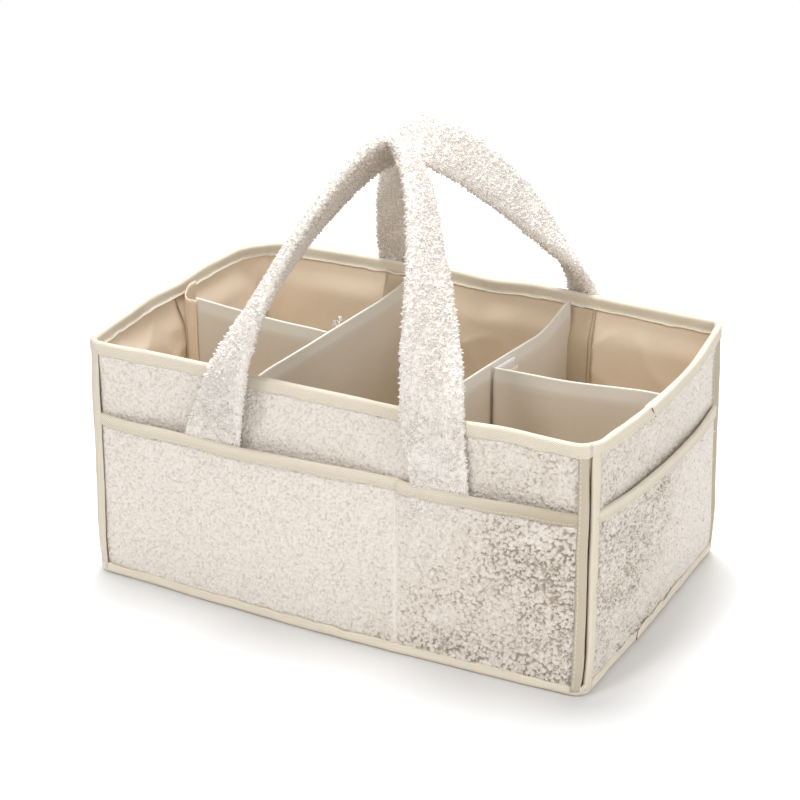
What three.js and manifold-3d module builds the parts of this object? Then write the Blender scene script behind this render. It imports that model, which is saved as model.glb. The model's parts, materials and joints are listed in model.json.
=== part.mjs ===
// Open-topped diaper caddy: bouclé cloth walls on stiffening boards, bound with twill tape,
// with sewn pockets on all four sides, two strap handles and removable cloth dividers.
// Millimetres, +Z up, +X along the length, -Y is the front.
// The origin is on the floor under the middle of the base.
import * as THREE from 'three';
import { mergeVertices } from 'three/addons/utils/BufferGeometryUtils.js';
import Module from 'manifold-3d';

const wasm = await Module();
wasm.setup();

// Overall sizes, over the binding tapes
const BODY_LENGTH = 382;
const BODY_DEPTH = 236;
const BODY_HEIGHT = 182;

// Sewn layers
const CLEARANCE = 0.3;
const TAPE_THICKNESS = 0.7;
const HEM_THICKNESS = 0.8;
const CLOTH_THICKNESS = 1.0;
const WALL_BOARD_THICKNESS = 1.8;
const BASE_BOARD_THICKNESS = 2.4;
const LINING_THICKNESS = 0.7;

// Binding tapes
const RIM_TAPE_WIDTH = 11;
const BASE_TAPE_WIDTH = 9;
const CORNER_TAPE_WIDTH = 8.5;
const MOUTH_TAPE_WIDTH = 8.5;
const CORNER_SLIT = 1.2;

// Pockets
const POCKET_MOUTH_HEIGHT = 128;
const FRONT_POCKET_BOW = 7;
const SIDE_POCKET_BOW = 8;
const POCKET_PILE = 1.6;
const POCKET_SEAM_X = 54;
const POCKET_COLUMNS = 9;
const POCKET_ROWS = 5;

// Handles
const STRAP_WIDTH = 44;
const STRAP_THICKNESS = 10;
const STRAP_TOP_WIDTH = 38;
const STRAP_TOP_THICKNESS = 12;
const FOOT_THICKNESS = 5;
const LOOP_HEIGHT = 174;
const STRAP_TURN_POWER = 0.6;
const ROOT_LIFT = 0.5;
const ROOT_RELIEF_ANGLE = 8;
const LEAN_TOLERANCE = 1e-6;
const LEG_STEPS = 14;
const STRAP_ARC_STEPS = 4;

// Each handle's left and right leg, as seen from outside its wall: where the strap's middle is at the
// pocket's mouth and at the rim, its slope along the wall there, and how far it keeps its way at the rim
// and at the crown. All legs tilt in over the rim by the same slope.
const FRONT_LEGS = [
  { mouth: -88, rim: -70, slope: 0.21, pull: 55, crownPull: 26 },
  { mouth: 84, rim: 80, slope: 0.08, pull: 66, crownPull: 23 },
];
const REAR_LEGS = [
  { mouth: -89, rim: -73, slope: 0.12, pull: 40, crownPull: 37 },
  { mouth: 88, rim: 70, slope: 0.12, pull: 40, crownPull: 37 },
];
const LEG_TILT = 0.15;

// Dividers
const DIVIDER_TOP = 167;
const DIVIDER_CLOTH = 0.6;
const DIVIDER_BOARD = 2.0;
const DIVIDER_FLOOR_GAP = 0.7;
const CROSS_DIVIDER_X = 70;
const LEFT_SIDE_DIVIDER_Y = 5;
const RIGHT_SIDE_DIVIDER_Y = 0;
const SWING_GAP = 0.8;
const FREE_TAB_GAP = 0.7;

// Hook tabs and loop strips
const TAB_THICKNESS = 1.0;
const TAB_REACH = 14;
const TAB_WEB = 10;
const TAB_HEIGHT = 130;
const TAB_DROP = 4;
const STRIP_THICKNESS = 0.8;
const STRIP_WIDTH = 20;
const PATCH_WIDTH = 24;

// Depths of the wall's layers, inwards from the outside of the tape
const HEM_AT = TAPE_THICKNESS + CLEARANCE;
const CLOTH_AT = HEM_AT + HEM_THICKNESS + CLEARANCE;
const BOARD_AT = CLOTH_AT + CLOTH_THICKNESS + CLEARANCE;
const INNER_TAPE_AT = BOARD_AT + WALL_BOARD_THICKNESS + CLEARANCE;
const PANEL_EDGE = INNER_TAPE_AT + TAPE_THICKNESS;
const LINING_AT = PANEL_EDGE + CLEARANCE;
const LINING_FACE = LINING_AT + LINING_THICKNESS;
const RIM_INNER_AT = LINING_FACE + CLEARANCE;
const RIM_WALL = RIM_INNER_AT + TAPE_THICKNESS;

// Heights of the base's layers and of the walls
const LAYER_BOTTOM = TAPE_THICKNESS + CLEARANCE;
const LAYER_TOP = BODY_HEIGHT - TAPE_THICKNESS - CLEARANCE;
const BASE_BOARD_Z = LAYER_BOTTOM + CLOTH_THICKNESS + CLEARANCE;
const BASE_LINING_Z = BASE_BOARD_Z + BASE_BOARD_THICKNESS + CLEARANCE;
const BASE_LINING_TOP = BASE_LINING_Z + LINING_THICKNESS;
const CORNER_TAPE_BOTTOM = BASE_TAPE_WIDTH + CLEARANCE;
const CORNER_TAPE_TOP = BODY_HEIGHT - RIM_TAPE_WIDTH - CLEARANCE;
const SIDE_PANEL_SPAN = BODY_DEPTH - 2 * (PANEL_EDGE + CORNER_SLIT);

const caddy = new THREE.Group();

function material(color, roughness) {
  return new THREE.MeshStandardMaterial({ color, roughness, metalness: 0 });
}

const boucle = material(0xe8e0d8, 0.95);
const twillTape = material(0xe4dcc8, 0.8);
const tanLining = material(0xd2bda0, 0.6);
const greyCover = material(0xd6cec3, 0.7);
const tanTab = material(0xc9b494, 0.75);
const whiteLoop = material(0xeeece6, 0.95);
const stiffener = material(0xdedbd2, 0.6);

function addPiece(group, name, geometry, finish) {
  const piece = new THREE.Mesh(geometry, finish);
  piece.name = name;
  group.add(piece);
}

// A box given by its lowest and highest corners.
function block(low, high) {
  const size = high.map((value, axis) => value - low[axis]);
  const geometry = new THREE.BoxGeometry(...size);
  geometry.translate(...low.map((value, axis) => value + size[axis] / 2));
  return geometry;
}

// A flat outline of [x, y] points, pushed up from one height to another.
function prism(points, bottom, top, holes = []) {
  const shape = new THREE.Shape(points.map(([x, y]) => new THREE.Vector2(x, y)));
  for (const hole of holes) {
    shape.holes.push(new THREE.Path(hole.map(([x, y]) => new THREE.Vector2(x, y))));
  }
  const geometry = new THREE.ExtrudeGeometry(shape, { depth: top - bottom, bevelEnabled: false });
  geometry.translate(0, 0, bottom);
  return geometry;
}

// The body's outline, drawn in by some depth from the outside of the tapes.
function bodyOutline(depth) {
  const x = BODY_LENGTH / 2 - depth;
  const y = BODY_DEPTH / 2 - depth;
  return [[-x, -y], [x, -y], [x, y], [-x, y]];
}

function ring(outerDepth, innerDepth, bottom, top) {
  return prism(bodyOutline(outerDepth), bottom, top, [bodyOutline(innerDepth)]);
}

function toSolid(geometry) {
  const bare = geometry.clone();
  bare.deleteAttribute('normal');
  bare.deleteAttribute('uv');
  const merged = mergeVertices(bare);
  return new wasm.Manifold(new wasm.Mesh({
    numProp: 3,
    vertProperties: new Float32Array(merged.attributes.position.array),
    triVerts: new Uint32Array(merged.index.array),
  }));
}

function toGeometry(solid) {
  const mesh = solid.getMesh();
  const geometry = new THREE.BufferGeometry();
  geometry.setAttribute('position', new THREE.BufferAttribute(mesh.vertProperties, 3));
  geometry.setIndex(new THREE.BufferAttribute(mesh.triVerts, 1));
  geometry.computeVertexNormals();
  return geometry;
}

function cut(body, tool) {
  return toGeometry(toSolid(body).subtract(toSolid(tool)));
}

function join(first, second) {
  return toGeometry(toSolid(first).add(toSolid(second)));
}

// A closed solid from rings of points; each ring joins the next, and both ends are capped.
function loft(rings) {
  const count = rings[0].length;
  const positions = rings.flat().flatMap((point) => point.toArray());
  const index = [];
  for (let r = 0; r + 1 < rings.length; r += 1) {
    for (let k = 0; k < count; k += 1) {
      const a = r * count + k;
      const b = r * count + (k + 1) % count;
      index.push(a, b, b + count, a, b + count, a + count);
    }
  }
  const last = (rings.length - 1) * count;
  for (let k = 1; k + 1 < count; k += 1) {
    index.push(0, k + 1, k);
    index.push(last, last + k, last + k + 1);
  }
  return indexed(positions, index);
}

// A sheet with thickness, from a grid of outer points and a matching grid of inner points.
function sheet(outer, inner) {
  const rows = outer.length;
  const columns = outer[0].length;
  const positions = [outer, inner].flat(2).flatMap((point) => point.toArray());
  const front = (r, c) => r * columns + c;
  const back = (r, c) => rows * columns + r * columns + c;
  const index = [];
  const quad = (a, b, c, d) => index.push(a, b, c, a, c, d);
  for (let r = 0; r + 1 < rows; r += 1) {
    for (let c = 0; c + 1 < columns; c += 1) {
      quad(front(r, c), front(r, c + 1), front(r + 1, c + 1), front(r + 1, c));
      quad(back(r, c), back(r + 1, c), back(r + 1, c + 1), back(r, c + 1));
    }
  }
  for (let c = 0; c + 1 < columns; c += 1) {
    quad(front(0, c), back(0, c), back(0, c + 1), front(0, c + 1));
    quad(front(rows - 1, c), front(rows - 1, c + 1), back(rows - 1, c + 1), back(rows - 1, c));
  }
  for (let r = 0; r + 1 < rows; r += 1) {
    quad(front(r, 0), front(r + 1, 0), back(r + 1, 0), back(r, 0));
    quad(front(r, columns - 1), back(r, columns - 1), back(r + 1, columns - 1), front(r + 1, columns - 1));
  }
  return indexed(positions, index);
}

function indexed(positions, index) {
  const geometry = new THREE.BufferGeometry();
  geometry.setAttribute('position', new THREE.Float32BufferAttribute(positions, 3));
  geometry.setIndex(index);
  geometry.computeVertexNormals();
  return geometry;
}

function smooth(value) {
  const t = Math.min(Math.max(value, 0), 1);
  return t * t * (3 - 2 * t);
}

// One wall, built facing -Y at its own distance from the middle and then turned into place.
// Across the wall x runs over span; depth is measured inwards from the outside of the tape.
function wallFrame(name, span, distance, turn) {
  const group = new THREE.Group();
  group.rotation.z = turn;
  caddy.add(group);
  return { name, group, half: span / 2, face: -distance };
}

function slab(wall, halfWidth, depth, thickness, bottom, top) {
  const outside = wall.face + depth;
  return block([-halfWidth, outside, bottom], [halfWidth, outside + thickness, top]);
}

// Outer cloth: a backing caught in the tapes, with its pile showing between them above the pocket.
function outerCloth(wall) {
  const backingHalf = wall.half - TAPE_THICKNESS - CLEARANCE;
  const pileHalf = wall.half - CORNER_TAPE_WIDTH - CLEARANCE;
  const pileTop = CORNER_TAPE_TOP;
  const pileBottom = POCKET_MOUTH_HEIGHT + CLEARANCE;
  const backing = slab(wall, backingHalf, CLOTH_AT, CLOTH_THICKNESS, LAYER_BOTTOM, LAYER_TOP);
  const pile = slab(wall, pileHalf, 0, CLOTH_AT + CLOTH_THICKNESS / 2, pileBottom, pileTop);
  addPiece(wall.group, `${wall.name}_outer`, join(backing, pile), boucle);
}

function wallBoard(wall) {
  const half = wall.half - TAPE_THICKNESS - CLEARANCE;
  const board = slab(wall, half, BOARD_AT, WALL_BOARD_THICKNESS, LAYER_BOTTOM, LAYER_TOP);
  addPiece(wall.group, `${wall.name}_board`, board, stiffener);
}

// Tape folded round a panel's upright edge, on the left (-1) or right (+1) of the wall.
function cornerTape(wall, side, name) {
  const edge = wall.half;
  const near = edge - CORNER_TAPE_WIDTH;
  const web = edge - TAPE_THICKNESS;
  const outline = [
    [near, 0], [edge, 0], [edge, PANEL_EDGE], [near, PANEL_EDGE],
    [near, INNER_TAPE_AT], [web, INNER_TAPE_AT], [web, TAPE_THICKNESS], [near, TAPE_THICKNESS],
  ].map(([x, depth]) => [side * x, wall.face + depth]);
  if (side < 0) outline.reverse();
  addPiece(wall.group, name, prism(outline, CORNER_TAPE_BOTTOM, CORNER_TAPE_TOP), twillTape);
}

// How far the pocket stands off the wall: nothing at its seams, most at the mouth between them.
function pocketBow(pocket, x, z) {
  const cell = pocket.cells.find(([from, to]) => x >= from && x <= to);
  if (!cell) return 0;
  const across = Math.sin(Math.PI * (x - cell[0]) / (cell[1] - cell[0]));
  const seamTop = CORNER_TAPE_BOTTOM;
  const up = smooth((z - seamTop) / (POCKET_MOUTH_HEIGHT - seamTop));
  return pocket.bow * Math.sqrt(Math.max(across, 0)) * up;
}

function spread(from, to, steps) {
  return Array.from({ length: steps + 1 }, (_, k) => from + (to - from) * k / steps);
}

// The seams of a wall's pocket: the tapes' inner edges, and any stitched lines between them.
function pocketOn(wall, bow, stitches) {
  const open = wall.half - CORNER_TAPE_WIDTH - CLEARANCE;
  const seams = [-open, ...stitches, open];
  const cells = seams.slice(1).map((to, k) => [seams[k], to]);
  const columns = cells.flatMap(([from, to]) => spread(from, to, POCKET_COLUMNS).slice(0, -1));
  return { bow, cells, open, columns: [...columns, open] };
}

function pocketCloth(wall, pocket) {
  const hemHalf = wall.half - TAPE_THICKNESS - CLEARANCE;
  const xs = [-hemHalf, ...pocket.columns, hemHalf];
  const mouthTape = POCKET_MOUTH_HEIGHT - MOUTH_TAPE_WIDTH - CLEARANCE;
  const top = POCKET_MOUTH_HEIGHT - TAPE_THICKNESS - CLEARANCE;
  const rise = spread(CORNER_TAPE_BOTTOM, mouthTape, POCKET_ROWS);
  const zs = [LAYER_BOTTOM, ...rise, mouthTape + CLEARANCE, top];
  const inSeam = (x, z) => Math.abs(x) >= pocket.open || z <= CORNER_TAPE_BOTTOM || z > mouthTape;
  const isStitch = (x) => pocket.cells.slice(1).some(([from]) => from === x);
  const pileAt = (x, z) => (inSeam(x, z) || isStitch(x) ? 0 : POCKET_PILE);
  const point = (x, z, depth) => new THREE.Vector3(x, wall.face + depth - pocketBow(pocket, x, z), z);
  const outer = zs.map((z) => xs.map((x) => point(x, z, HEM_AT - pileAt(x, z))));
  const inner = zs.map((z) => xs.map((x) => point(x, z, HEM_AT + HEM_THICKNESS)));
  addPiece(wall.group, `${wall.name}_pocket`, sheet(outer, inner), boucle);
}

// Tape folded over the pocket's mouth, following its bow.
function mouthTape(wall, pocket) {
  const end = pocket.open;
  const bottom = POCKET_MOUTH_HEIGHT - MOUTH_TAPE_WIDTH;
  const fold = POCKET_MOUTH_HEIGHT - TAPE_THICKNESS;
  const outerLeg = HEM_AT - CLEARANCE - TAPE_THICKNESS;
  const rings = pocket.columns.map((x) => {
    const place = Math.min(Math.max(x, -end), end);
    const bow = (z) => pocketBow(pocket, place, z);
    const corner = (depth, z) => new THREE.Vector3(place, wall.face + depth - bow(z), z);
    return [
      corner(outerLeg, bottom),
      corner(outerLeg, POCKET_MOUTH_HEIGHT),
      corner(HEM_AT + HEM_THICKNESS, POCKET_MOUTH_HEIGHT),
      corner(HEM_AT + HEM_THICKNESS, fold),
      corner(outerLeg + TAPE_THICKNESS, fold),
      corner(outerLeg + TAPE_THICKNESS, bottom),
    ].reverse();
  });
  addPiece(wall.group, `${wall.name}_pocket_tape`, tapeLoft(rings), twillTape);
}

// A loft of an L-shaped section: its caps are cut into two convex halves at the fold.
function tapeLoft(rings) {
  const geometry = loft(rings);
  const index = Array.from(geometry.index.array);
  const count = rings[0].length;
  const last = (rings.length - 1) * count;
  const caps = 2 * (count - 2) * 3;
  const sides = index.slice(0, index.length - caps);
  const halves = [[0, 1, 4], [0, 4, 5], [1, 2, 3], [1, 3, 4]];
  for (const [a, b, c] of halves) {
    sides.push(a, c, b);
    sides.push(last + a, last + b, last + c);
  }
  return indexed(Array.from(geometry.attributes.position.array), sides);
}

// Handles: two strap feet sewn on the wall, and a loop that turns on them at the rim.
const HINGE_Y = BODY_DEPTH / 2 + CLEARANCE + FOOT_THICKNESS + CLEARANCE;
const HINGE_Z = BODY_HEIGHT + ROOT_LIFT;

function strapSection(width, thickness) {
  const radius = thickness / 2;
  const reach = width / 2 - radius;
  const points = [];
  for (const side of [1, -1]) {
    for (const angle of spread(-Math.PI / 2, Math.PI / 2, STRAP_ARC_STEPS)) {
      points.push([side * (reach + radius * Math.cos(angle)), side * radius * Math.sin(angle)]);
    }
  }
  return points;
}

// The lean at which the two loops' crowns stop just short of each other over the middle.
function restLean() {
  const radius = STRAP_TOP_THICKNESS / 2;
  const crownReach = STRAP_THICKNESS / 2 + STRAP_TOP_WIDTH / 2 - radius;
  const short = (lean) => HINGE_Y - LOOP_HEIGHT * Math.sin(lean) - crownReach * Math.cos(lean)
    - radius - CLEARANCE;
  let upright = 0;
  let leaning = Math.PI / 2;
  while (leaning - upright > LEAN_TOLERANCE) {
    const middle = (upright + leaning) / 2;
    if (short(middle) > 0) upright = middle;
    else leaning = middle;
  }
  return upright;
}

const HANDLE_LEAN = restLean();

// The top of each loop's middle line
const LEVEL = new THREE.Vector3(0, 1, 0);
const LEANED = new THREE.Vector3(0, Math.cos(HANDLE_LEAN), -Math.sin(HANDLE_LEAN));
const CROWN = new THREE.Vector3(0, Math.sin(HANDLE_LEAN), Math.cos(HANDLE_LEAN))
  .multiplyScalar(LOOP_HEIGHT)
  .addScaledVector(LEANED, STRAP_THICKNESS / 2)
  .add(new THREE.Vector3(0, -HINGE_Y, HINGE_Z));

// The middle line of one leg of a loop, from the hinge to the crown
function legLine(leg) {
  const side = Math.sign(leg.rim);
  const root = new THREE.Vector3(leg.rim, STRAP_THICKNESS / 2 - HINGE_Y, HINGE_Z);
  const way = new THREE.Vector3(-side * leg.slope, LEG_TILT, 1);
  const overCrown = new THREE.Vector3(side * leg.crownPull, 0, 0);
  return new THREE.CubicBezierCurve3(
    root,
    root.clone().addScaledVector(way, leg.pull),
    CROWN.clone().add(overCrown),
    CROWN,
  );
}

// The strap's section at a share of the way up a leg. Its outer face looks away from the wall at the
// hinge and turns to look up at the crown. climbing is +1 on the way up and -1 on the way down.
function strapRing(line, share, climbing) {
  const tangent = line.getTangentAt(share).multiplyScalar(climbing);
  const inward = LEVEL.clone().lerp(LEANED, smooth(share));
  inward.addScaledVector(tangent, -inward.dot(tangent)).normalize();
  const turn = share ** STRAP_TURN_POWER * Math.PI / 2;
  const face = new THREE.Vector3().crossVectors(tangent, inward)
    .multiplyScalar(Math.sin(turn))
    .addScaledVector(inward, -Math.cos(turn));
  const across = new THREE.Vector3().crossVectors(face, tangent);
  const width = STRAP_WIDTH + (STRAP_TOP_WIDTH - STRAP_WIDTH) * smooth(share);
  const thickness = STRAP_THICKNESS + (STRAP_TOP_THICKNESS - STRAP_THICKNESS) * smooth(share);
  return strapSection(width, thickness).map(([w, t]) => line.getPointAt(share)
    .addScaledVector(across, w)
    .addScaledVector(face, t));
}

// A leg's sections from a little below the hinge up to the crown
function legRings(leg, climbing) {
  const line = legLine(leg);
  const below = line.getTangentAt(0).multiplyScalar(-STRAP_WIDTH / 2);
  const tail = strapRing(line, 0, climbing).map((point) => point.add(below));
  return [tail, ...spread(0, 1, LEG_STEPS).map((share) => strapRing(line, share, climbing))];
}

// The loop is cut level at the hinge, and its outer edge is trimmed there to a slope, in degrees,
// that keeps it off the foot when the handle hangs down.
function handleLoop(wall, name, [leftLeg, rightLeg]) {
  const climb = legRings(leftLeg, 1);
  const fall = legRings(rightLeg, -1).slice(0, -1).reverse();
  const strap = loft([...climb, ...fall]);
  const reach = BODY_LENGTH;
  const below = block([-reach, -reach, HINGE_Z - LOOP_HEIGHT], [reach, reach, HINGE_Z]);
  const outside = block([-reach, -reach, -LOOP_HEIGHT], [reach, 0, 2 * LOOP_HEIGHT]);
  outside.rotateX(THREE.MathUtils.degToRad(ROOT_RELIEF_ANGLE));
  outside.translate(0, -HINGE_Y, HINGE_Z);
  addPiece(wall.group, name, cut(cut(strap, below), outside), boucle);
}

function handleFoot(wall, name, leg) {
  const centre = wall.face - CLEARANCE - FOOT_THICKNESS / 2;
  const outline = strapSection(STRAP_WIDTH, FOOT_THICKNESS);
  const ringAt = (middle, z) => outline.map(([x, y]) => new THREE.Vector3(x + middle, y + centre, z));
  const bottom = ringAt(leg.mouth, POCKET_MOUTH_HEIGHT + CLEARANCE);
  const top = ringAt(leg.rim, HINGE_Z - CLEARANCE);
  addPiece(wall.group, name, loft([bottom, top]), boucle);
}

// Walls, going round from the front
const front = wallFrame('front', BODY_LENGTH, BODY_DEPTH / 2, 0);
const right = wallFrame('right', SIDE_PANEL_SPAN, BODY_LENGTH / 2, Math.PI / 2);
const back = wallFrame('back', BODY_LENGTH, BODY_DEPTH / 2, Math.PI);
const left = wallFrame('left', SIDE_PANEL_SPAN, BODY_LENGTH / 2, -Math.PI / 2);

const cornerNames = new Map([
  [front, ['front_panel_left_tape', 'front_panel_right_tape']],
  [right, ['right_panel_front_tape', 'right_panel_back_tape']],
  [back, ['back_panel_right_tape', 'back_panel_left_tape']],
  [left, ['left_panel_back_tape', 'left_panel_front_tape']],
]);

const pockets = new Map([
  [front, pocketOn(front, FRONT_POCKET_BOW, [POCKET_SEAM_X])],
  [right, pocketOn(right, SIDE_POCKET_BOW, [])],
  [back, pocketOn(back, FRONT_POCKET_BOW, [POCKET_SEAM_X])],
  [left, pocketOn(left, SIDE_POCKET_BOW, [])],
]);

for (const wall of [front, right, back, left]) {
  const [leftTape, rightTape] = cornerNames.get(wall);
  outerCloth(wall);
  wallBoard(wall);
  cornerTape(wall, -1, leftTape);
  cornerTape(wall, 1, rightTape);
  pocketCloth(wall, pockets.get(wall));
  mouthTape(wall, pockets.get(wall));
}

handleLoop(front, 'front_handle_loop', FRONT_LEGS);
handleFoot(front, 'front_handle_left_foot', FRONT_LEGS[0]);
handleFoot(front, 'front_handle_right_foot', FRONT_LEGS[1]);
handleLoop(back, 'rear_handle_loop', REAR_LEGS);
handleFoot(back, 'rear_handle_right_foot', REAR_LEGS[0]);
handleFoot(back, 'rear_handle_left_foot', REAR_LEGS[1]);

// Base: cloth, board and lining inside the walls
function baseLayers() {
  const inBoards = bodyOutline(INNER_TAPE_AT);
  const inLining = bodyOutline(LINING_FACE + CLEARANCE);
  addPiece(caddy, 'base_outer', prism(inBoards, LAYER_BOTTOM, LAYER_BOTTOM + CLOTH_THICKNESS), tanLining);
  const boardTop = BASE_BOARD_Z + BASE_BOARD_THICKNESS;
  addPiece(caddy, 'base_board', prism(inBoards, BASE_BOARD_Z, boardTop), stiffener);
  addPiece(caddy, 'base_lining', prism(inLining, BASE_LINING_Z, BASE_LINING_TOP), tanLining);
  addPiece(caddy, 'wall_lining', ring(LINING_AT, LINING_FACE, BASE_LINING_Z, LAYER_TOP), tanLining);
}

// Tape folded over the rim, outside and inside
function rimTape() {
  const bottom = BODY_HEIGHT - RIM_TAPE_WIDTH;
  const whole = ring(0, RIM_WALL, bottom, BODY_HEIGHT);
  const channel = ring(TAPE_THICKNESS, RIM_INNER_AT, 0, BODY_HEIGHT - TAPE_THICKNESS);
  addPiece(caddy, 'rim_tape', cut(whole, channel), twillTape);
}

// Tape folded round the base's edge: up the walls and under the base
function baseTape() {
  const whole = ring(0, BASE_TAPE_WIDTH, 0, BASE_TAPE_WIDTH);
  const inside = prism(bodyOutline(TAPE_THICKNESS), TAPE_THICKNESS, 2 * BASE_TAPE_WIDTH);
  addPiece(caddy, 'base_tape', cut(whole, inside), twillTape);
}

baseLayers();
rimTape();
baseTape();

// Dividers: a board in a cloth cover that is open below, with a hook tab at each end
const COVER_HALF = DIVIDER_BOARD / 2 + CLEARANCE + DIVIDER_CLOTH;
const DIVIDER_BOTTOM = BASE_LINING_TOP + DIVIDER_FLOOR_GAP;
const STRIP_FACE = LINING_FACE + CLEARANCE + STRIP_THICKNESS;
const TAB_TOP = DIVIDER_TOP - TAB_DROP;
const TAB_BOTTOM = TAB_TOP - TAB_HEIGHT;
const STRIP_TOP = CORNER_TAPE_TOP;

// A divider along x from one end to the other, on a line of constant y, in a group that may be turned.
function dividerPanel(group, name, from, to, middle) {
  const low = [from, middle - COVER_HALF, DIVIDER_BOTTOM];
  const high = [to, middle + COVER_HALF, DIVIDER_TOP];
  const hollow = COVER_HALF - DIVIDER_CLOTH;
  const hollowLow = [from + DIVIDER_CLOTH, middle - hollow, DIVIDER_BOTTOM - DIVIDER_TOP];
  const hollowHigh = [to - DIVIDER_CLOTH, middle + hollow, DIVIDER_TOP - DIVIDER_CLOTH];
  addPiece(group, `${name}_cover`, cut(block(low, high), block(hollowLow, hollowHigh)), greyCover);
  const boardHalf = DIVIDER_BOARD / 2;
  const boardLow = [hollowLow[0] + CLEARANCE, middle - boardHalf, DIVIDER_BOTTOM];
  const boardHigh = [hollowHigh[0] - CLEARANCE, middle + boardHalf, hollowHigh[2] - CLEARANCE];
  addPiece(group, `${name}_board`, block(boardLow, boardHigh), stiffener);
}

// A hook tab: a web in line with the divider, and a flange lying along what it sticks to.
// toWall is +1 where the flange is at the web's high-x end; reach is signed along y.
function hookTab(group, name, webFrom, flangeFace, middle, reach) {
  const toWall = Math.sign(flangeFace - webFrom);
  const half = TAB_THICKNESS / 2;
  const side = Math.sign(reach);
  const fold = flangeFace - toWall * TAB_THICKNESS;
  const outline = [
    [webFrom, middle - side * half],
    [flangeFace, middle - side * half],
    [flangeFace, middle + reach],
    [fold, middle + reach],
    [fold, middle + side * half],
    [webFrom, middle + side * half],
  ];
  if (toWall * side < 0) outline.reverse();
  addPiece(group, name, prism(outline, TAB_BOTTOM, TAB_TOP), tanTab);
}

// A loop strip on a lining or a patch on a cover, lying on a face that looks along x.
function loopStrip(group, name, face, outwards, middle, width, bottom, top) {
  const near = face + outwards * CLEARANCE;
  const far = near + outwards * STRIP_THICKNESS;
  const low = [Math.min(near, far), middle - width / 2, bottom];
  const high = [Math.max(near, far), middle + width / 2, top];
  addPiece(group, name, block(low, high), whiteLoop);
}

// The cross dividers run front to back. Each is built along x and turned a quarter turn.
// Their rear tabs stay on the wall, and the panel swings at the rear end of its board.
function crossDivider(name, x, outside) {
  const group = new THREE.Group();
  group.rotation.z = Math.PI / 2;
  caddy.add(group);
  const middle = -x;
  const reach = -outside * TAB_REACH;
  const wallFace = BODY_DEPTH / 2 - LINING_FACE;
  const rearFlange = BODY_DEPTH / 2 - STRIP_FACE - CLEARANCE;
  const frontFlange = -(BODY_DEPTH / 2 - STRIP_FACE - FREE_TAB_GAP);
  const rearWeb = rearFlange - TAB_THICKNESS - TAB_WEB;
  const rearEnd = rearWeb - SWING_GAP;
  const frontEnd = -rearEnd;
  dividerPanel(group, `${name}_divider`, frontEnd, rearEnd, middle);
  hookTab(group, `${name}_divider_rear_tab`, rearWeb, rearFlange, middle, reach);
  hookTab(group, `${name}_divider_front_tab`, frontEnd - CLEARANCE, frontFlange, middle, reach);
  const stripMiddle = middle + reach / 2;
  loopStrip(group, `${name}_rear_loop_strip`, wallFace, -1, stripMiddle, STRIP_WIDTH, TAB_BOTTOM, STRIP_TOP);
  loopStrip(group, `${name}_front_loop_strip`, -wallFace, 1, stripMiddle, STRIP_WIDTH, TAB_BOTTOM, STRIP_TOP);
}

// The side dividers run from a cross divider out to the end wall, and lift straight out.
function sideDivider(name, outside, y) {
  const group = new THREE.Group();
  caddy.add(group);
  const coverFace = CROSS_DIVIDER_X + COVER_HALF;
  const patchFace = coverFace + CLEARANCE + STRIP_THICKNESS;
  const wallFace = BODY_LENGTH / 2 - LINING_FACE;
  const innerFlange = patchFace + CLEARANCE;
  const innerWeb = innerFlange + TAB_THICKNESS + TAB_WEB;
  const outerFlange = BODY_LENGTH / 2 - STRIP_FACE - CLEARANCE;
  const outerWeb = outerFlange - TAB_THICKNESS - TAB_WEB;
  const ends = [outside * (innerWeb + CLEARANCE), outside * (outerWeb - CLEARANCE)];
  dividerPanel(group, `${name}_side_divider`, Math.min(...ends), Math.max(...ends), y);
  hookTab(group, `${name}_side_divider_inner_tab`, outside * innerWeb, outside * innerFlange, y, TAB_REACH);
  hookTab(group, `${name}_side_divider_wall_tab`, outside * outerWeb, outside * outerFlange, y, TAB_REACH);
  const strip = y + TAB_REACH / 2;
  loopStrip(group, `${name}_wall_loop_strip`, outside * wallFace, -outside, strip,
    STRIP_WIDTH, TAB_BOTTOM, STRIP_TOP);
  loopStrip(group, `${name}_cross_loop_patch`, outside * coverFace, outside, strip,
    PATCH_WIDTH, TAB_BOTTOM, TAB_TOP);
}

crossDivider('left_cross', -CROSS_DIVIDER_X, -1);
crossDivider('right_cross', CROSS_DIVIDER_X, 1);
sideDivider('left', -1, LEFT_SIDE_DIVIDER_Y);
sideDivider('right', 1, RIGHT_SIDE_DIVIDER_Y);

export default caddy;
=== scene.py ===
# Dresses the caddy's solids as a soft object: boucle cloth, twill bindings, lining, dividers, straps.
# Lengths are in millimetres until a mesh is made. -Y is the front, +X the right and +Z up.
import json
import math

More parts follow.
